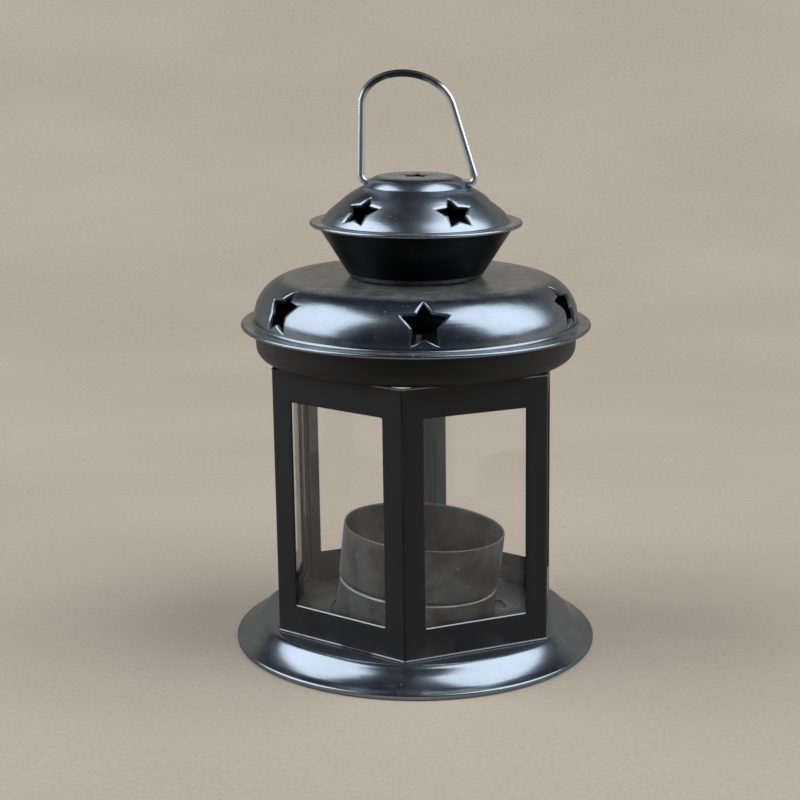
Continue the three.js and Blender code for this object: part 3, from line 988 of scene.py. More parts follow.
@dataclass(frozen=True)
class DrillHole(Aperture):
    """A round hole drilled level through a wall.

    Attributes:
        radius: Radius of the drill.
        height: Height of its axis.
    """

    radius: float = 1.225
    height: float = BAIL_AXIS

    def outline(self, face: SheetFace, bearings: Array, grow: float = 0.0) -> Array:
        """Find the station at each height of the drill's circle, where the face falls as it runs.

        Args:
            face: Face of the pressing.
            bearings: Bearings from the drill's axis.
            grow: How much wider the hole is all round.

        Returns:
            Azimuth offset and station of its edge at each bearing.
        """
        radius = self.radius + grow
        height = self.height + radius * np.cos(bearings)
        station = np.interp(-height, -face.line[:, 1], face.stations)
        azimuth = np.arcsin(radius * np.sin(bearings) / face.at(station)[..., 0])
        return np.stack([azimuth, station], axis=-1)


def sectors(azimuths: Sequence[int]) -> list[tuple[int, int, int]]:
    """Share a turn out between holes, at whole degrees half way between neighbours.

    Args:
        azimuths: Azimuths of the holes in whole degrees, in turning order.

    Returns:
        For each hole its azimuth and its sector's width before and after it.
    """
    following = [*azimuths[1:], azimuths[0]]
    gaps = [(right - left) % 360 for left, right in zip(azimuths, following)]
    after = [gap // 2 for gap in gaps]
    before = [gaps[place - 1] - after[place - 1] for place in range(len(gaps))]
    return list(zip(azimuths, before, after))


def pierced_sector(
    draft: MeshDraft,
    face: SheetFace,
    span: tuple[int, int],
    sector: tuple[int, int, int],
    hole: Aperture,
    rows: int = 17,
    crowding: float = 1.8,
) -> None:
    """Make a sector of a pressing with a hole in it: lines run from the hole's edge out to the border.

    A point is edge + (border - edge) times a share that grows from 0 to 1, in azimuth and station. Near
    the edge the face sinks by lip times exp(-(distance / bend)^2), as sheet does beside a punch. The back
    takes every second row where their count is odd.

    Args:
        draft: Mesh that takes the grids.
        face: Face of the pressing.
        span: Places of the sector's upper and lower border in the face's line.
        sector: Azimuth of the hole and the sector's width before and after it, in whole degrees.
        hole: The hole.
        rows: Points from the hole's edge to the border.
        crowding: Power that crowds them towards the edge.
    """
    first, last = span
    azimuth, before, after = sector
    across = np.radians(np.arange(-before, after + 1.0))
    down = face.stations[first + 1 : last]
    border = np.concatenate(
        [
            np.stack([across, np.full_like(across, face.stations[first])], axis=1),
            np.stack([np.full_like(down, across[-1]), down], axis=1),
            np.stack([across[::-1], np.full_like(across, face.stations[last])], axis=1),
            np.stack([np.full_like(down, across[0]), down[::-1]], axis=1),
        ]
    )
    bearing = hole.bearings(face, border)
    edge = hole.outline(face, bearing)
    wide = hole.outline(face, bearing, hole.grow)
    share = (np.linspace(0.0, 1.0, rows) ** crowding)[:, None, None]
    front = edge + (border - edge) * share
    back = wide + (border - wide) * share[:: 2 if rows % 2 else 1]
    radius = face.at(np.array(hole.station))[0]
    apart = np.linalg.norm((front - edge) * np.array([radius, 1.0]), axis=-1)
    sink = hole.lip * np.exp(-((apart / hole.bend) ** 2)) * (1.0 - share[..., 0])
    skin = face.at(front[..., 1], sink)
    lining = face.at(back[..., 1], face.gauge)
    depths = np.array([hole.lip, 0.5 * (hole.lip + hole.burr), hole.burr])[:, None]
    wall = np.concatenate([face.at(edge[None, :, 1], depths), lining[:1]])
    wall_turn = np.stack([edge[:, 0]] * 3 + [wide[:, 0]])
    turn = math.radians(azimuth)
    draft.grid(turned(skin, front[..., 0] + turn), (False, True))
    draft.grid(turned(lining, back[..., 0] + turn), (False, True))
    draft.grid(turned(wall, wall_turn + turn), (False, True), Face.EDGE)


@dataclass(frozen=True)
class Finishes:
    """The materials that the sub-assemblies share."""

    lacquer: bpy.types.Material
    satin: bpy.types.Material
    sheltered: bpy.types.Material
    black: bpy.types.Material
    inside: bpy.types.Material
    stove: bpy.types.Material
    edge: bpy.types.Material
    rubbed: bpy.types.Material
    dulled: bpy.types.Material
    worn: bpy.types.Material
    wire: bpy.types.Material
    cup: bpy.types.Material
    glass: bpy.types.Material

    @classmethod
    def mixed(cls) -> "Finishes":
        """Mix every finish once.

        Returns:
            All of them together.
        """
        return cls(
            lacquer=LacqueredTin().material(),
            satin=LacqueredTin(
                name="satin_lacquered_tin",
                deep="#78828b",
                pale="#97a2ac",
                film=0.65,
                gloss=(0.22, 0.3),
            ).material(),
            sheltered=LacqueredTin(
                name="sheltered_lacquered_tin", film=0.12, grime=0.12, gloss=(0.17, 0.23)
            ).material(),
            black=FlatBlackPaint().material(),
            # Inside paint: dust, and a tone much paler than the outer black that is painted light,
            # standing in for the light inside the glazed body.
            inside=FlatBlackPaint(
                name="inside_paint_dust_and_painted_light", deep="#282c31", pale="#3a3f45", dust="#5c5c5a"
            ).material(),
            # On the bowl the paler tone lies in grey cloudy patches over all of it, not only at its foot.
            stove=FlatBlackPaint(
                name="black_stoving_lacquer",
                deep="#060708",
                pale="#0c0d10",
                dust="#2a2a2c",
                gloss=(0.26, 0.4),
                specular=0.05,
                drift_top_mm=260.0,
            ).material(),
            edge=BareSteel().material(),
            rubbed=BareSteel(
                name="rubbed_tin_rim", deep="#6a6c6e", pale="#a3a6a8", metallic=0.7, gloss=(0.3, 0.5)
            ).material(),
            dulled=BareSteel(
                name="dulled_tin_rim", deep="#4c4f52", pale="#797c7f", metallic=0.6, gloss=(0.36, 0.5)
            ).material(),
            worn=BareSteel(name="chipped_paint_edge", paint="#151516").material(),
            wire=DrawnWire().material(),
            cup=SmokedTin().material(),
            glass=WindowGlass().material(),
        )


@dataclass
class BasePan:
    """Round base: flat plateau, flaring skirt and a rolled rim that stands on the table.

    The floor inside the glazed body, up to its walls, has the inside paint: dusty, and painted paler to
    stand in for the light inside the body.
    """

    opening: float = 21.2
    plateau: float = 6.4
    shoulder: float = 38.7
    shoulder_round: float = 2.2
    flare: Pair = (41.6, 2.7)
    flare_round: float = 11.0
    rim: float = 45.0
    rim_height: float = 1.3
    rim_round: float = 0.5
    rim_end: float = 43.2
    floor: float = 31.9
    notch_reach: float = 23.0
    notch_azimuths: tuple[float, ...] = (105.0, 225.0, 345.0)
    notch_width: float = 15.0
    notch_margin: float = 4.0

    def face(self) -> SheetFace:
        """Draw the upper face from the opening out to the rolled rim."""
        return SheetFace(
            (
                (self.opening, self.plateau),
                (self.shoulder, self.plateau, self.shoulder_round),
                (*self.flare, self.flare_round),
                (self.rim, self.rim_height, self.rim_round),
                (self.rim, 0.0, self.rim_round),
                (self.rim_end, 0.0),
            ),
            SheetSide.RIGHT,
        )

    def build(self, finishes: Finishes) -> None:
        """Turn the section, drawn back at the three notches that the holder's lugs pass.

        A point moves out by the notch's depth times its share of the way in from the notches' margin.

        Args:
            finishes: Materials of the lantern.
        """
        face = self.face()
        section = face.both(0, face.end)
        degrees = np.degrees(TURN_STEPS)
        apart = np.abs((degrees[:, None] - np.array(self.notch_azimuths) + 180.0) % 360.0 - 180.0)
        notched = (apart <= self.notch_width / 2.0).any(axis=1)
        start = np.where(notched, self.notch_reach, self.opening)
        radius = np.repeat(section[:, :1], len(TURN_STEPS), axis=1)
        still = self.shoulder - self.notch_margin
        share = np.clip((still - radius) / (still - self.opening), 0.0, None)
        radius = radius + share * (start - self.opening)[None]
        height = np.repeat(section[:, 1:], len(TURN_STEPS), axis=1)
        draft = MeshDraft()
        # The floor within the walls takes the inside paint, whose paler tone is painted light.
        walls = wall_azimuth(np.arange(PANELS))
        inside = radius * np.cos(TURN_STEPS[:, None] - walls).max(axis=1) < self.floor
        floor = inside & (height > self.plateau - face.gauge / 2.0)
        draft.grid(turned(np.stack([radius, height], axis=-1), TURN_STEPS), (True, True), rim=floor)
        piece = draft.piece("base_pan_dressed", [finishes.sheltered, finishes.inside])
        settle(piece, Body.LANTERN, Slot.ENAMEL, "base_pan")


@dataclass
class BodyFrame:
    """Strip folded to a hexagon: a window in each wall, tabs and clips at both edges, and its panes."""

    apothem: float = 32.65
    gauge: float = 0.4
    sill: float = 6.5
    lintel: float = 72.0
    window_half: float = 13.25
    window_low: float = 14.0
    window_high: float = 64.5
    window_round: float = 0.35
    cut_reach: tuple[float, ...] = (0.0, 0.08, 0.2, 0.4)
    cut_sink: tuple[float, ...] = (0.2, 0.09, 0.02, 0.0)
    fold_radius: float = 0.8
    seam: float = 0.06
    rag: float = 0.4
    rag_share: tuple[float, ...] = (1.0, 0.55, 0.2, 0.0)
    rag_sink: tuple[float, ...] = (0.0, -0.05, -0.13, 0.0)
    strap_gauge: float = 0.36
    strap_round: float = 0.12
    strap_step: float = 0.8
    tab_width: float = 8.0
    tab_leaf: float = 4.5
    tab_rise: float = 0.8
    tab_round: float = 0.35
    clip_width: float = 8.0
    clip_lip: float = 4.0
    clip_depth: float = 2.9
    clip_place: float = 10.0
    clip_round: float = 0.4
    foot_offset: float = 0.9
    pane_size: tuple[float, float, float] = (32.5, 1.5, 64.1)
    pane_levels: tuple[float, ...] = (0.0, 0.0025, 0.9975, 1.0)
    pane_ground: float = 0.2
    pane_low: float = 7.2
    pane_apothem: float = 31.2
    side_points: int = 22
    arc_points: int = 5
    wall_rows: int = 5
    fold_points: int = 9

    @property
    def flat_half(self) -> float:
        """Half of a wall's flat width, short of its folds."""
        return (self.apothem - self.fold_radius) * math.tan(math.pi / PANELS)

    @property
    def pitch(self) -> float:
        """Length of strip that one wall and its two half folds take."""
        return 2.0 * (self.flat_half + self.fold_radius * math.pi / PANELS)

    def folded(self, along: Array, height: Array, depth: Any) -> Array:
        """Fold points of the flat strip: straight within a wall, round the fold's centre past its end.

        Args:
            along: Length along the strip from the middle of the first wall.
            height: Height of each point.
            depth: Depth below the outer face.

        Returns:
            Points in metres.
        """
        wall = np.clip(np.round(along / self.pitch), 0, PANELS - 1)
        local = along - wall * self.pitch
        past = np.maximum(np.abs(local) - self.flat_half, 0.0) / self.fold_radius
        side = np.sign(local)
        bend = self.fold_radius - depth
        x = np.clip(local, -self.flat_half, self.flat_half) + side * bend * np.sin(past)
        out = self.apothem - self.fold_radius + bend * np.cos(past)
        azimuth = wall_azimuth(wall)
        points = np.broadcast_arrays(
            out * np.sin(azimuth) + x * np.cos(azimuth),
            -out * np.cos(azimuth) + x * np.sin(azimuth),
            height,
        )
        return np.stack(points, axis=-1) * MM

    def loop(self, half: float, low: float, high: float, rounding: float) -> Array:
        """Give a rounded rectangle as a closed loop with the same count of points for any size.

        Args:
            half: Half of its width.
            low: Height of its lower side.
            high: Height of its upper side.
            rounding: Radius of its corners.

        Returns:
            Points along and up.
        """
        quarter = np.linspace(0.0, math.pi / 2.0, self.arc_points)
        signs = ((1.0, 1.0), (-1.0, 1.0), (-1.0, -1.0), (1.0, -1.0))
        arcs = []
        for turn, (across, up) in enumerate(signs):
            angle = quarter + turn * math.pi / 2.0
            middle = np.array([across * (half - rounding), (high if up > 0 else low) - up * rounding])
            arcs.append(middle + rounding * np.stack([np.cos(angle), np.sin(angle)], axis=1))
        runs = []
        for arc, after in zip(arcs, arcs[1:] + arcs[:1]):
            runs.append(arc)
            runs.append(np.linspace(arc[-1], after[0], self.side_points + 2)[1:-1])
        return np.concatenate(runs)

    def wall_grids(self, draft: MeshDraft, wall: int) -> None:
        """Lay one wall's flat ring from the window's cut edge out to its folds, on both faces.

        Args:
            draft: Mesh that takes the grids.
            wall: Number of the wall from the front corner to the right.
        """
        rings = [
            self.loop(
                self.window_half + more,
                self.window_low - more,
                self.window_high + more,
                self.window_round + more,
            )
            for more in self.cut_reach
        ]
        outer = self.loop(self.flat_half, self.sill + self.rag, self.lintel - self.rag, 0.0)
        share = np.linspace(0.0, 1.0, self.wall_rows)[1:, None, None]
        rows = np.concatenate([np.stack(rings), rings[-1] + (outer - rings[-1]) * share])
        depth = np.concatenate([self.cut_sink, np.zeros(len(share))])[:, None]
        start = wall * self.pitch
        front = self.folded(rows[..., 0] + start, rows[..., 1], depth)
        back = self.folded(rows[..., 0] + start, rows[..., 1], self.gauge)
        draft.grid(front[2:], (False, True))
        # The back of each wall takes the inside paint, whose paler tone is painted light.
        draft.grid(back, (False, True), Face.INSIDE)
        cut = np.concatenate([back[:1], front[:3]])
        side = self.arc_points + self.side_points
        low = 2 * side + self.arc_points // 2
        lower = np.arange(low, low + side + 1)
        draft.grid(cut[:, lower], face=Face.EDGE)
        draft.grid(np.roll(cut, -low - side, axis=1)[:, : cut.shape[1] - side + 1])

    def fold_grids(self, draft: MeshDraft) -> None:
        """Lay the folds between the walls, the ragged long edges and the two ends at the seam.

        Args:
            draft: Mesh that takes the grids.
        """
        level = np.linspace(self.sill + self.rag, self.lintel - self.rag, self.side_points + 2)
        across = np.linspace(-self.flat_half, self.flat_half, self.side_points + 2)
        starts = np.arange(PANELS) * self.pitch
        folds = [
            np.linspace(start + self.flat_half, start + self.pitch - self.flat_half, self.fold_points)
            for start in starts[:-1]
        ]
        half_fold = self.fold_points // 2 + 1
        first = np.linspace(self.seam / 2.0 - self.pitch / 2.0, -self.flat_half, half_fold)
        last = starts[-1] - first[::-1]
        for fold in [first, *folds, last]:
            # The folds' backs take the inside paint, whose paler tone is painted light.
            for depth, face in ((0.0, Face.SKIN), (self.gauge, Face.INSIDE)):
                draft.grid(self.folded(fold[:, None], level[None], depth), face=face)
        flats = [across + start for start in starts]
        strip = np.unique(np.round(np.concatenate([first, last, *folds, *flats]), 9))
        drop = self.rag * np.array([*self.rag_share, 0.0, 1.0])
        depth = np.array([*self.rag_sink, self.gauge, self.gauge])
        for edge, up in ((self.sill, 1.0), (self.lintel, -1.0)):
            rows = self.folded(strip[None], (edge + up * drop)[:, None], depth[:, None])
            draft.grid(rows, face=Face.WORN)
        for end in (first[0], last[-1]):
            top, foot = (self.lintel - drop)[1:], (self.sill + drop)[::-1][1:-1]
            height = np.concatenate([level, top, level[::-1][1:], foot])
            back = np.full(len(level) - 1, self.gauge)
            deep = np.concatenate([np.zeros(len(level)), depth[1:], back, depth[::-1][1:-1]])
            ring = self.folded(np.full(len(height), end), height, deep)
            hub = np.broadcast_to(ring.mean(axis=0), ring.shape)
            draft.grid(np.stack([ring, hub]), (False, True))

    def strap_grids(self, draft: MeshDraft) -> None:
        """Bend a tab and two pane clips out of both edges of each wall: flat bars along folded lines.

        Args:
            draft: Mesh that takes the grids.
        """
        half = self.gauge / 2.0
        middle = self.apothem - half
        lip = self.apothem - self.clip_depth + half
        for wall in range(PANELS):
            outward, across = wall_axes(wall)
            for edge, up in ((self.sill, -1.0), (self.lintel, 1.0)):
                leaf = edge + up * self.tab_rise
                tip = self.apothem - self.tab_leaf
                tab = ((middle, edge), (middle, leaf, self.tab_round), (tip, leaf))
                fold = edge - up * half
                grasp = edge - up * self.clip_lip
                clip = ((middle - half, fold), (lip, fold, self.clip_round), (lip, grasp))
                places = (
                    (tab, self.tab_width, 0.0),
                    (clip, self.clip_width, -self.clip_place),
                    (clip, self.clip_width, self.clip_place),
                )
                for corners, width, place in places:
                    line = with_steps(rounded_line(corners, fineness=10.0), self.strap_step)
                    path = line[:, :1] * outward + line[:, 1:] * UPRIGHT + place * across
                    section = plate_section(width, self.strap_gauge, self.strap_round)
                    # Tabs and clips take the inside paint, whose paler tone is painted light.
                    draft.grid(swept(section, path, across), (False, True), Face.INSIDE)

    def offset(self, draft: MeshDraft) -> None:
        """Move a mesh's points to the right: wholly at the sill, not at all at the lintel.

        Args:
            draft: Mesh whose points are moved.
        """
        for points in draft.points:
            share = (self.lintel - points[:, 2] / MM) / (self.lintel - self.sill)
            points[:, 0] += self.foot_offset * MM * np.clip(share, 0.0, 1.0)

    def panes(self, finishes: Finishes) -> None:
        """Stand a pane with ground edges in the clips of each wall.

        Args:
            finishes: Materials of the lantern.
        """
        width, thickness, height = self.pane_size
        level = self.pane_low + height * np.array(self.pane_levels)
        narrowed = [1.0 - 2.0 * self.pane_ground / width, 1.0 - 2.0 * self.pane_ground / thickness]
        scale = np.array([narrowed, [1.0, 1.0], [1.0, 1.0], narrowed])
        section = plate_section(width, thickness, self.pane_ground, steps=3)
        for wall in range(PANELS):
            outward, across = wall_axes(wall)
            path = self.pane_apothem * outward + level[:, None] * UPRIGHT
            draft = MeshDraft()
            draft.grid(swept(section, path, across, scale), (False, True))
            self.offset(draft)
            piece = draft.piece(f"glass_pane_{wall + 1}_dressed", [finishes.glass], sharp=8.0)
            settle(piece, Body.LANTERN, Slot.GLASS, f"glass_pane_{wall + 1}")

    def build(self, finishes: Finishes) -> None:
        """Fold the strip, bend its tabs and clips, and glaze it.

        Args:
            finishes: Materials of the lantern.
        """
        draft = MeshDraft()
        for wall in range(PANELS):
            self.wall_grids(draft, wall)
        self.fold_grids(draft)
        self.strap_grids(draft)
        self.offset(draft)
        paints = [finishes.black, finishes.edge, finishes.worn, finishes.inside]
        piece = draft.piece("body_frame_dressed", paints)
        settle(piece, Body.LANTERN, Slot.BLACK, "body_frame")
        self.panes(finishes)


@dataclass
class Roof:
    """Roof: a tray on the body and a flat-topped dome with six stars, hemmed together at the brim."""

    pan_z: float = 72.1
    pan_opening: float = 25.0
    pan_wall: float = 38.8
    pan_round: float = 3.2
    pan_flare: float = 0.5
    pan_flange: float = 80.13
    flange_round: float = 0.6
    flange_gap: float = 0.65
    collar: float = 13.6
    collar_curl: Pair = (0.9, 0.6)
    top: float = 91.75
    dome: float = 39.4
    shoulder_round: float = 9.6
    cove: float = 0.7
    brim: float = 42.6
    brim_z: float = 80.8
    hem: float = 1.0
    hem_round: float = 0.49
    hem_return: float = 2.1
    gauge: float = 0.3
    star_reach: float = 5.75
    star_stretch: float = 1.17
    star_rise: float = -0.3
    star_margin: float = 1.6
    star_azimuths: tuple[int, ...] = (8, 75, 134, 192, 251, 309)

    def pan_face(self) -> SheetFace:
        """Draw the tray's lower face from its opening up to its flange."""
        return SheetFace(
            (
                (self.pan_opening, self.pan_z),
                (self.pan_wall, self.pan_z, self.pan_round),
                (self.pan_wall + self.pan_flare, self.pan_flange, self.flange_round),
                (self.brim - self.flange_gap, self.pan_flange),
            ),
            SheetSide.LEFT,
            gauge=self.gauge,
        )

    def dome_face(self) -> SheetFace:
        """Draw the dome's upper face from the curled collar down to the hemmed brim."""
        curl_run, curl_rise = self.collar_curl
        return SheetFace(
            (
                (self.collar + curl_run, self.top + curl_rise),
                (self.collar, self.top + curl_rise),
                (self.collar, self.top),
                (self.dome, self.top, self.shoulder_round),
                (self.dome, self.brim_z, self.cove),
                (self.brim, self.brim_z, self.hem_round),
                (self.brim, self.brim_z - self.hem, self.hem_round),
                (self.brim - self.hem_return, self.brim_z - self.hem),
            ),
            SheetSide.RIGHT,
            gauge=self.gauge,
            step=0.75,
        )

    def build(self, finishes: Finishes) -> None:
        """Turn the tray, then the dome round its ring of stars.

        Args:
            finishes: Materials of the lantern.
        """
        pan = self.pan_face()
        draft = MeshDraft()
        draft.grid(turned(pan.both(0, pan.end), TURN_STEPS), (True, True))
        piece = draft.piece("roof_pan_dressed", [finishes.black])
        settle(piece, Body.LANTERN, Slot.ENAMEL, "roof_pan")

        face = self.dome_face()
        arc_foot = self.top - self.shoulder_round
        foot = float(face.stations[face.nearest(self.dome, arc_foot)])
        climb = self.star_reach * self.star_stretch * math.cos(STAR_FOLD) + self.star_rise
        star = StarCut(station=foot - climb, reach=self.star_reach, stretch=self.star_stretch)
        first = face.nearest(self.dome - self.shoulder_round - self.star_margin, self.top)
        last = face.nearest(self.dome, self.brim_z + self.cove)
        draft = MeshDraft()
        draft.grid(turned(face.both(0, first), TURN_STEPS), (False, True))
        draft.grid(turned(face.ends(last, face.end), TURN_STEPS), (False, True))
        for sector in sectors(self.star_azimuths):
            pierced_sector(draft, face, (first, last), sector, star, rows=19)
        piece = draft.piece("roof_dome_dressed", [finishes.lacquer, finishes.edge])
        settle(piece, Body.LANTERN, Slot.ENAMEL, "roof_dome")


@dataclass
class Cap:
    """Cap: an upturned bowl as chimney and a lid with stars in its slope and crown."""

    foot: float = 15.95
    foot_z: float = 91.85
    foot_opening: float = 13.75
    foot_round: float = 0.9
    foot_band: float = 0.75
    bowl: float = 24.0
    flange_z: float = 104.6
    flange_round: float = 0.6
    flange_gap: float = 0.65
    crown: float = 12.6
    crown_run: float = 2.0
    crown_z: float = 116.1
    crown_round: float = 5.6
    crown_foot_z: float = 113.55
    crown_foot_round: float = 0.8
    shoulder: Pair = (15.9, 111.85)
    shoulder_round: float = 14.0
    hip: Pair = (21.6, 107.1)
    hip_round: float = 10.0
    cone: float = 22.85
    cove: float = 0.4
    brim: float = 25.7
    brim_z: float = 105.2
    hem: float = 0.9
    hem_round: float = 0.44
    hem_return: float = 1.15
    gauge: float = 0.28
    hole_azimuths: tuple[int, ...] = (90, 270)
    hole_half: int = 12
    hole_ring: float = 9.2
    hole_inset: float = 0.1
    star_reach: float = 4.85
    star_rise: float = 1.5
    star_top: Pair = (15.0, 112.5)
    star_foot: float = 0.35
    star_azimuths: tuple[int, ...] = (34, 106, 178, 250, 322)
    crown_star: float = 4.3
    crown_ring: float = 7.7
    crown_rows: int = 9
    crown_crowding: float = 1.6

    def bowl_face(self) -> SheetFace:
        """Draw the bowl's outer face from its foot up to its flange."""
        return SheetFace(
            (
                (self.foot_opening, self.foot_z),
                (self.foot, self.foot_z, self.foot_round),
                (self.bowl, self.flange_z, self.flange_round),
                (self.brim - self.flange_gap, self.flange_z),
            ),
            SheetSide.LEFT,
            gauge=self.gauge,
        )

    def lid_face(self) -> SheetFace:
        """Draw the lid's upper face from the ring round its crown star down to the hemmed brim."""
        return SheetFace(
            (
                (self.crown_ring, self.crown_z),
                (self.crown - self.crown_run, self.crown_z, self.crown_round),
                (self.crown, self.crown_foot_z, self.crown_foot_round),
                (*self.shoulder, self.shoulder_round),
                (*self.hip, self.hip_round),
                (self.cone, self.brim_z, self.cove),
                (self.brim, self.brim_z, self.hem_round),
                (self.brim, self.brim_z - self.hem, self.hem_round),
                (self.brim - self.hem_return, self.brim_z - self.hem),
            ),
            SheetSide.RIGHT,
            gauge=self.gauge,
            step=0.6,
        )

    def crown_grids(self, draft: MeshDraft, face: SheetFace) -> None:
        """Lay the flat crown from its star out to the ring: radius = star + (ring - star) times a share.

        Args:
            draft: Mesh that takes the grids.
            face: Upper face of the lid.
        """
        star = StarCut(station=0.0, reach=self.crown_star, burr=0.4, lip=0.08, grow=0.1)
        edge = star.radius(TURN_STEPS - math.pi)
        share = (np.linspace(0.0, 1.0, self.crown_rows) ** self.crown_crowding)[:, None]
        front = edge + (self.crown_ring - edge) * share
        back = edge + star.grow + (self.crown_ring - edge - star.grow) * share
        sink = star.lip * np.exp(-(((front - edge) / star.bend) ** 2)) * (1.0 - share)
        skin = np.stack([front, self.crown_z - sink], axis=-1)
        lining = np.stack([back, np.full_like(back, self.crown_z - face.gauge)], axis=-1)
        depths = np.array([star.lip, 0.5 * (star.lip + star.burr), star.burr])[:, None]
        wall = np.stack(np.broadcast_arrays(edge[None], self.crown_z - depths), axis=-1)
        draft.grid(turned(skin, TURN_STEPS), (False, True))
        draft.grid(turned(lining, TURN_STEPS), (False, True))
        draft.grid(turned(np.concatenate([wall, lining[:1]]), TURN_STEPS), (False, True), Face.EDGE)

    def build(self, finishes: Finishes) -> None:
        """Turn the bowl, then the lid with its crown star, bail holes and ring of stars.

        Args:
            finishes: Materials of the lantern.
        """
        bowl = self.bowl_face()
        draft = MeshDraft()
        section = bowl.both(0, bowl.end)
        low = section[:, 1] < self.foot_z + self.foot_band
        rolled = low & (section[:, 0] > self.foot - self.foot_round)
        draft.grid(turned(section, TURN_STEPS), (True, True), rim=rolled)
        piece = draft.piece("cap_bowl_dressed", [finishes.stove, finishes.lacquer])
        settle(piece, Body.LANTERN, Slot.ENAMEL, "cap_bowl")

        face = self.lid_face()
        foot = float(face.stations[face.nearest(self.cone, self.brim_z)])
        climb = self.star_reach * math.cos(STAR_FOLD) + self.star_rise
        star = StarCut(station=foot - climb, reach=self.star_reach)
        hole_top = face.nearest(self.hole_ring, self.crown_z)
        first = face.nearest(*self.star_top)
        last = face.nearest(self.cone - self.cove, self.brim_z + self.star_foot)
        hole_mid = face.nearest(self.crown - self.hole_inset, BAIL_AXIS)
        hole = DrillHole(station=float(face.stations[hole_mid]), burr=0.4, lip=0.05)
        half = self.hole_half
        draft = MeshDraft()
        self.crown_grids(draft, face)
        for azimuth in self.hole_azimuths:
            pierced_sector(draft, face, (hole_top, first), (azimuth, half, half), hole, rows=10)
        for depth in (0.0, face.gauge):
            layer = face.line + depth * face.inward
            draft.grid(turned(layer[: hole_top + 1], TURN_STEPS), (False, True))
            for azimuth in self.hole_azimuths:
                azimuths = np.radians(np.arange(azimuth + half, azimuth + 180.0 - half + 1.0))
                draft.grid(turned(layer[hole_top : first + 1], azimuths))
        for sector in sectors(self.star_azimuths):
            pierced_sector(draft, face, (first, last), sector, star, rows=17)
        draft.grid(turned(face.ends(last, face.end), TURN_STEPS), (False, True))
        piece = draft.piece("cap_dome_dressed", [finishes.satin, finishes.edge])
        settle(piece, Body.LANTERN, Slot.ENAMEL, "cap_dome")


@dataclass
class BailHandle:
    """Bail: one wire bent to an arch, with its feet turned in through the crown's two holes."""

    wire: float = 1.75
    lean: float = -3.9
    shift: float = 0.6
    height: float = 25.89
    foot: float = 9.1
    leg: float = 14.0
    knee: float = 1.6
    shoulder: float = 11.0
    shoulder_lift: float = 18.0
    step: float = 1.2
    arch_points: int = 61
    sides: int = 20

    def path(self) -> Array:
        """Run from the left foot over the arch to the right foot; the arch is a cubic between shoulders.

        Returns:
            Points across and up in millimetres.
        """
        taper = (self.leg - self.shoulder) / self.shoulder_lift
        rise = 4.0 * (self.height - self.shoulder_lift) / 3.0
        drawn_in = self.shoulder - taper * (self.height - self.shoulder_lift)
        share = np.linspace(0.0, 1.0, self.arch_points)[:, None]
        ends = np.array([[-self.shoulder, self.shoulder_lift], [self.shoulder, self.shoulder_lift]])
        pulls = np.array([[-drawn_in, self.shoulder_lift + rise], [drawn_in, self.shoulder_lift + rise]])
        arch = (1.0 - share) ** 3 * ends[0] + share**3 * ends[1]
        arch = arch + 3.0 * share * (1.0 - share) * ((1.0 - share) * pulls[0] + share * pulls[1])
        corners = ((-self.foot, 0.0), (-self.leg, 0.0, self.knee), tuple(ends[0]))
        left = with_steps(rounded_line(corners, fineness=8.0), self.step)
        right = left[::-1] * np.array([-1.0, 1.0])
        line = np.concatenate([left[:-1], arch, right[1:]])
        over = self.shift + self.lean * line[:, 1] / self.height
        return line + np.stack([over, np.zeros(len(line))], axis=1)

    def build(self, finishes: Finishes) -> None:
        """Carry the wire's round section along its path.

        Args:
            finishes: Materials of the lantern.
        """
        line = self.path()
        points = np.stack([line[:, 0], np.zeros(len(line)), line[:, 1] + BAIL_AXIS], axis=1)
        draft = MeshDraft()
        section = disc_section(self.wire / 2.0, self.sides)
        draft.grid(swept(section, points, np.array([0.0, 1.0, 0.0])), (False, True))
        piece = draft.piece("bail_handle_dressed", [finishes.wire], sharp=50.0)
        settle(piece, Body.BAIL, Slot.WIRE, "bail_handle")


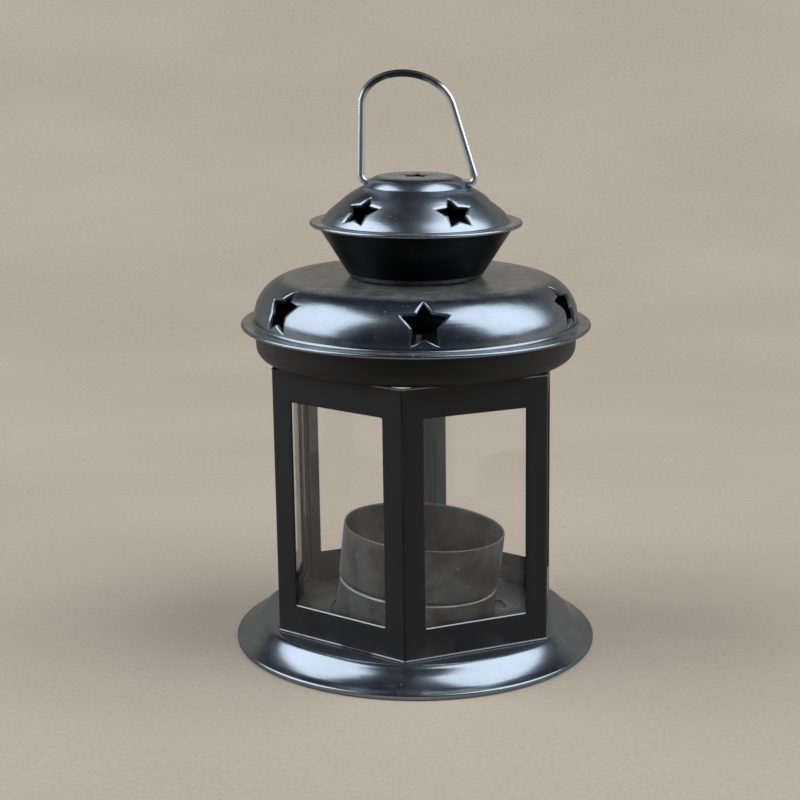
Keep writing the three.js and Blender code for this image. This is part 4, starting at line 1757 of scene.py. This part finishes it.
@dataclass
class CandleHolder:
    """Candle holder: an open cup riveted on a drum, whose lugs lock in the base as it is twisted."""

    hat: float = 19.9
    hat_top: float = 19.5
    hat_round: float = 0.6
    hat_z: float = 14.4
    ledge: float = 0.36
    brim: float = 25.0
    brim_z: float = 5.9
    bore: float = 1.7
    cup: float = 19.9
    cup_foot: float = 14.5
    cup_foot_round: Pair = (1.2, 0.8)
    cup_rim: float = 28.5
    cup_rim_round: float = 0.18
    cup_rim_band: float = 0.2
    cup_step: float = 0.9
    gauge: float = 0.4
    lug_azimuths: tuple[float, ...] = (65.0, 185.0, 305.0)
    lug_width: float = 11.0
    lug_place: Pair = (21.7, 6.85)
    lug_section: tuple[float, float, float] = (2.0, 0.7, 0.2)
    grip_width: float = 10.0
    grip_drop: float = 4.0
    grip_round: float = 1.2
    grip_edge: float = 0.12
    grip_inset: float = 0.4
    grip_overlap: float = 0.02
    grip_rows: int = 12
    grip_crowding: float = 0.7
    shift: float = 0.9
    tilt: float = 0.075
    tilt_from: float = 7.2
    lean: float = 0.1
    oval: float = 0.1
    oval_turn: float = 0.6
    ripple: float = 0.06
    dent_azimuth: float = 68.0
    dent_depth: float = 1.2
    dent_half: float = 6.0
    dent_lift: float = 1.2
    dent_rise: float = 2.2
    rivet_head: Pair = (3.0, 1.0)
    rivet_seat: float = 15.0
    rivet_shank: float = 1.5
    rivet_tail: float = 2.4
    rivet_tail_z: Pair = (13.9, 13.4)
    rivet_tail_round: Pair = (0.15, 0.2)
    rivet_sides: int = 60

    def tipped(self, points: Array) -> Array:
        """Tip points over to the right, as the loose holder sits.

        They move over and down by a share that grows from 0 at the seat to 1 at the drum's top, and above
        that they lean further over with their height.

        Args:
            points: Points in metres.

        Returns:
            The points, moved over and down by their height and place.
        """
        height = points[..., 2] / MM
        share = np.clip((height - self.tilt_from) / (self.hat_z - self.tilt_from), 0.0, 1.0)
        over = self.shift * share + self.lean * np.maximum(height - self.hat_z, 0.0)
        down = self.tilt * share * points[..., 0]
        return points + np.stack([over * MM, np.zeros_like(over), -down], axis=-1)

    def hat_piece(self, finishes: Finishes) -> None:
        """Turn the drum and its brim, and set lugs and grips on it.

        A grip's lower corners are quarter circles: there its half width is less by their radius times
        1 - sqrt(1 - (1 - s)^2), with s the height above its end over that radius.

        Args:
            finishes: Materials of the lantern.
        """
        face = SheetFace(
            (
                (self.bore, self.hat_z),
                (self.hat_top, self.hat_z, self.hat_round),
                (self.hat, self.brim_z),
                (self.brim, self.brim_z),
            ),
            SheetSide.RIGHT,
        )
        draft = MeshDraft()
        section = face.both(0, face.end)
        ledge = np.hypot(section[:, 0] - self.hat_top, section[:, 1] - self.hat_z) < self.ledge
        draft.grid(self.tipped(turned(section, TURN_STEPS)), (True, True), rim=ledge)
        half = self.lug_width / 2.0
        lug_radius, lug_z = self.lug_place
        for azimuth in self.lug_azimuths:
            turn = np.radians(np.linspace(azimuth - half, azimuth + half, 15))
            out = np.stack([np.sin(turn), -np.cos(turn), np.zeros_like(turn)], axis=1)
            path = lug_radius * out + lug_z * UPRIGHT
            draft.grid(swept(plate_section(*self.lug_section), path, out), (False, True))
        way_down = np.linspace(0.0, 1.0, self.grip_rows) ** self.grip_crowding
        drop = self.brim_z + self.grip_overlap - way_down * self.grip_drop
        share = np.clip((drop - drop[-1]) / self.grip_round, 0.0, 1.0)
        corner = self.grip_round / (self.grip_width / 2.0)
        round_end = 1.0 - corner * (1.0 - np.sqrt(1.0 - (1.0 - share) ** 2))
        scale = np.stack([round_end, np.ones_like(round_end)], axis=1)
        section = plate_section(self.grip_width, self.gauge, self.grip_edge)
        for side in (-1.0, 1.0):
            place = np.full_like(drop, side * (self.brim - self.grip_inset))
            path = np.stack([np.zeros_like(drop), place, drop], axis=1)
            draft.grid(swept(section, path, np.array([1.0, 0.0, 0.0]), scale), (False, True))
        piece = draft.piece("holder_hat_dressed", [finishes.cup, finishes.rubbed])
        settle(piece, Body.HOLDER, Slot.CUP, "holder_hat")

    def cup_piece(self, finishes: Finishes) -> None:
        """Turn the cup with a rounded rim, a little out of round and pinched at one spot of its foot.

        The radius gains oval sin(2a) + ripple sin(5a) towards the rim and loses a bell-shaped dent, and
        the whole cup leans over to the right.

        Args:
            finishes: Materials of the lantern.
        """
        wall = self.gauge
        outer_round, inner_round = self.cup_foot_round
        corners = (
            (self.bore, self.cup_foot),
            (self.cup, self.cup_foot, outer_round),
            (self.cup, self.cup_rim, self.cup_rim_round),
            (self.cup - wall, self.cup_rim, self.cup_rim_round),
            (self.cup - wall, self.cup_foot + wall, inner_round),
            (self.bore, self.cup_foot + wall),
        )
        line = with_steps(rounded_line(corners), self.cup_step)
        rise = np.clip((line[:, 1:] - self.cup_foot) / (self.cup_rim - self.cup_foot), 0.0, 1.0)
        outer = np.clip(line[:, :1] / self.cup, 0.0, 1.0) ** 4
        oval = self.oval * np.sin(2.0 * TURN_STEPS + self.oval_turn)
        waver = rise * (oval + self.ripple * np.sin(5.0 * TURN_STEPS))
        aside = (TURN_STEPS - math.radians(self.dent_azimuth)) / math.radians(self.dent_half)
        above = (line[:, 1:] - self.cup_foot - self.dent_lift) / self.dent_rise
        dent = self.dent_depth * np.exp(-(aside**2)) * np.exp(-(above**2))
        radius = line[:, :1] + outer * (waver - dent)
        height = np.broadcast_to(line[:, 1:], radius.shape)
        draft = MeshDraft()
        points = self.tipped(turned(np.stack([radius, height], axis=-1), TURN_STEPS))
        draft.grid(points, (True, True), rim=line[:, 1] > self.cup_rim - self.cup_rim_band)
        piece = draft.piece("candle_cup_dressed", [finishes.cup, finishes.dulled])
        settle(piece, Body.HOLDER, Slot.CUP, "candle_cup")

    def rivet_piece(self, finishes: Finishes) -> None:
        """Turn the rivet: a flat-domed head, a shank and an upset tail.

        Args:
            finishes: Materials of the lantern.
        """
        arc = np.radians(np.linspace(90.0, 0.0, 12))
        radius, rise = self.rivet_head
        head = np.stack([radius * np.cos(arc), self.rivet_seat + rise * np.sin(arc)], axis=1)
        upset, end = self.rivet_tail_z
        upset_round, end_round = self.rivet_tail_round
        corners = (
            (self.rivet_shank, self.rivet_seat),
            (self.rivet_shank, upset),
            (self.rivet_tail, upset, upset_round),
            (self.rivet_tail, end, end_round),
            (0.0, end),
        )
        tail = rounded_line(corners, fineness=15.0)
        steps = TURN_STEPS[:: len(TURN_STEPS) // self.rivet_sides]
        draft = MeshDraft()
        draft.grid(self.tipped(turned(np.concatenate([head, tail]), steps)), (False, True))
        piece = draft.piece("cup_rivet_dressed", [finishes.edge])
        settle(piece, Body.HOLDER, Slot.RIVET, "cup_rivet")

    def build(self, finishes: Finishes) -> None:
        """Make the drum, the cup and the rivet that joins them.

        Args:
            finishes: Materials of the lantern.
        """
        self.hat_piece(finishes)
        self.cup_piece(finishes)
        self.rivet_piece(finishes)


# Studio


@dataclass(frozen=True)
class Softbox:
    """A soft lamp that faces the lantern.

    Attributes:
        name: Name of the lamp.
        azimuth: Azimuth in degrees from the front to the right.
        elevation: Elevation in degrees.
        distance: Distance from the lantern's middle in metres.
        size: Width and height in metres.
        power: Power in watts.
        tint: Colour of its light.
    """

    name: str
    azimuth: float
    elevation: float
    distance: float
    size: tuple[float, float]
    power: float
    tint: str

    def build(self, target: Vector) -> None:
        """Hang the lamp and turn it to the target.

        Args:
            target: Point that it shines at, in metres.
        """
        lamp = bpy.data.lights.new(self.name, "AREA")
        lamp.shape = "RECTANGLE"
        lamp.size, lamp.size_y = self.size
        lamp.energy = self.power
        lamp.color = linear(self.tint)[:3]
        turn, lift = math.radians(self.azimuth), math.radians(self.elevation)
        way = Vector((math.sin(turn) * math.cos(lift), -math.cos(turn) * math.cos(lift), math.sin(lift)))
        holder = bpy.data.objects.new(self.name, lamp)
        holder.location = target + way * self.distance
        holder.rotation_euler = way.to_track_quat("Z", "Y").to_euler()
        bpy.context.scene.collection.objects.link(holder)


@dataclass
class Studio:
    """Card, lamps and camera round the lantern.

    The camera's place and lens are in millimetres, the card and the lamps are in metres.
    """

    camera_distance: float = 433.1
    camera_azimuth: float = 5.0
    camera_height: float = 163.2
    camera_pitch: float = 13.32
    camera_pan: float = 0.51
    lens: float = 81.12
    sensor: float = 36.0
    clip_start: float = 0.01
    card_half: float = 1.6
    card_front: float = -0.3
    card_back: float = 0.75
    card_height: float = 0.6
    card_round: float = 0.45
    card_step: float = 0.15
    sky: str = "#9cb8da"
    sky_strength: float = 0.08
    lamp_aim: float = 0.07
    lamps: tuple[Softbox, ...] = field(
        default_factory=lambda: (
            Softbox("key_left", -79.0, 33.0, 1.1, (1.15, 1.27), 14.9, "#f2f5fa"),
            Softbox("key_right", 83.0, 42.0, 1.1, (1.08, 1.54), 16.8, "#f2f5fa"),
        )
    )

    def card(self) -> None:
        """Lay the card as floor and bend it up behind as backdrop: one profile carried sideways."""
        corners = (
            (self.card_front, 0.0),
            (self.card_back, 0.0, self.card_round),
            (self.card_back, self.card_height),
        )
        line = with_steps(rounded_line(corners, fineness=5.0), self.card_step)
        sides = np.linspace(-self.card_half, self.card_half, 9)
        x, y = np.meshgrid(sides, line[:, 0])
        z = np.broadcast_to(line[:, 1:], x.shape)
        draft = MeshDraft()
        draft.grid(np.stack([x, y, z], axis=-1))
        card = draft.piece("studio_card", [BackdropPaper().material()], sharp=60.0)

    def world(self) -> None:
        """Fill the room with a weak even light."""
        world = bpy.data.worlds.new("studio_room")
        world.use_nodes = True
        tree = world.node_tree
        tree.nodes.clear()
        light = {"Color": linear(self.sky), "Strength": self.sky_strength}
        glow = add_node(tree, "Background", light)[0]
        add_node(tree, "OutputWorld", {"Surface": glow})
        bpy.context.scene.world = world

    def camera(self) -> None:
        """Set the camera at the photograph's place and turn."""
        lens = bpy.data.cameras.new("view_camera")
        lens.lens = self.lens
        lens.sensor_width = self.sensor
        lens.clip_start = self.clip_start
        camera = bpy.data.objects.new("view_camera", lens)
        turn = math.radians(self.camera_azimuth)
        camera.location = (
            self.camera_distance * math.sin(turn) * MM,
            -self.camera_distance * math.cos(turn) * MM,
            self.camera_height * MM,
        )
        camera.rotation_euler = Euler(
            (math.radians(90.0 - self.camera_pitch), 0.0, turn + math.radians(self.camera_pan))
        )
        bpy.context.scene.collection.objects.link(camera)
        bpy.context.scene.camera = camera

    def build(self) -> None:
        """Set up camera, card, lamps and room."""
        bpy.context.scene.view_settings.view_transform = "Standard"
        self.camera()
        self.card()
        for lamp in self.lamps:
            lamp.build(Vector((0.0, 0.0, self.lamp_aim)))
        self.world()


def main() -> None:
    """Build the lantern from its base to its bail, then the studio round it."""
    logging.basicConfig(level=logging.INFO, format="%(name)s %(message)s")
    finishes = Finishes.mixed()
    for assembly in (BasePan(), BodyFrame(), Roof(), Cap(), BailHandle(), CandleHolder()):
        assembly.build(finishes)
        LOG.info("%s done", type(assembly).__name__)
    Studio().build()


if __name__ == "__main__":
    main()
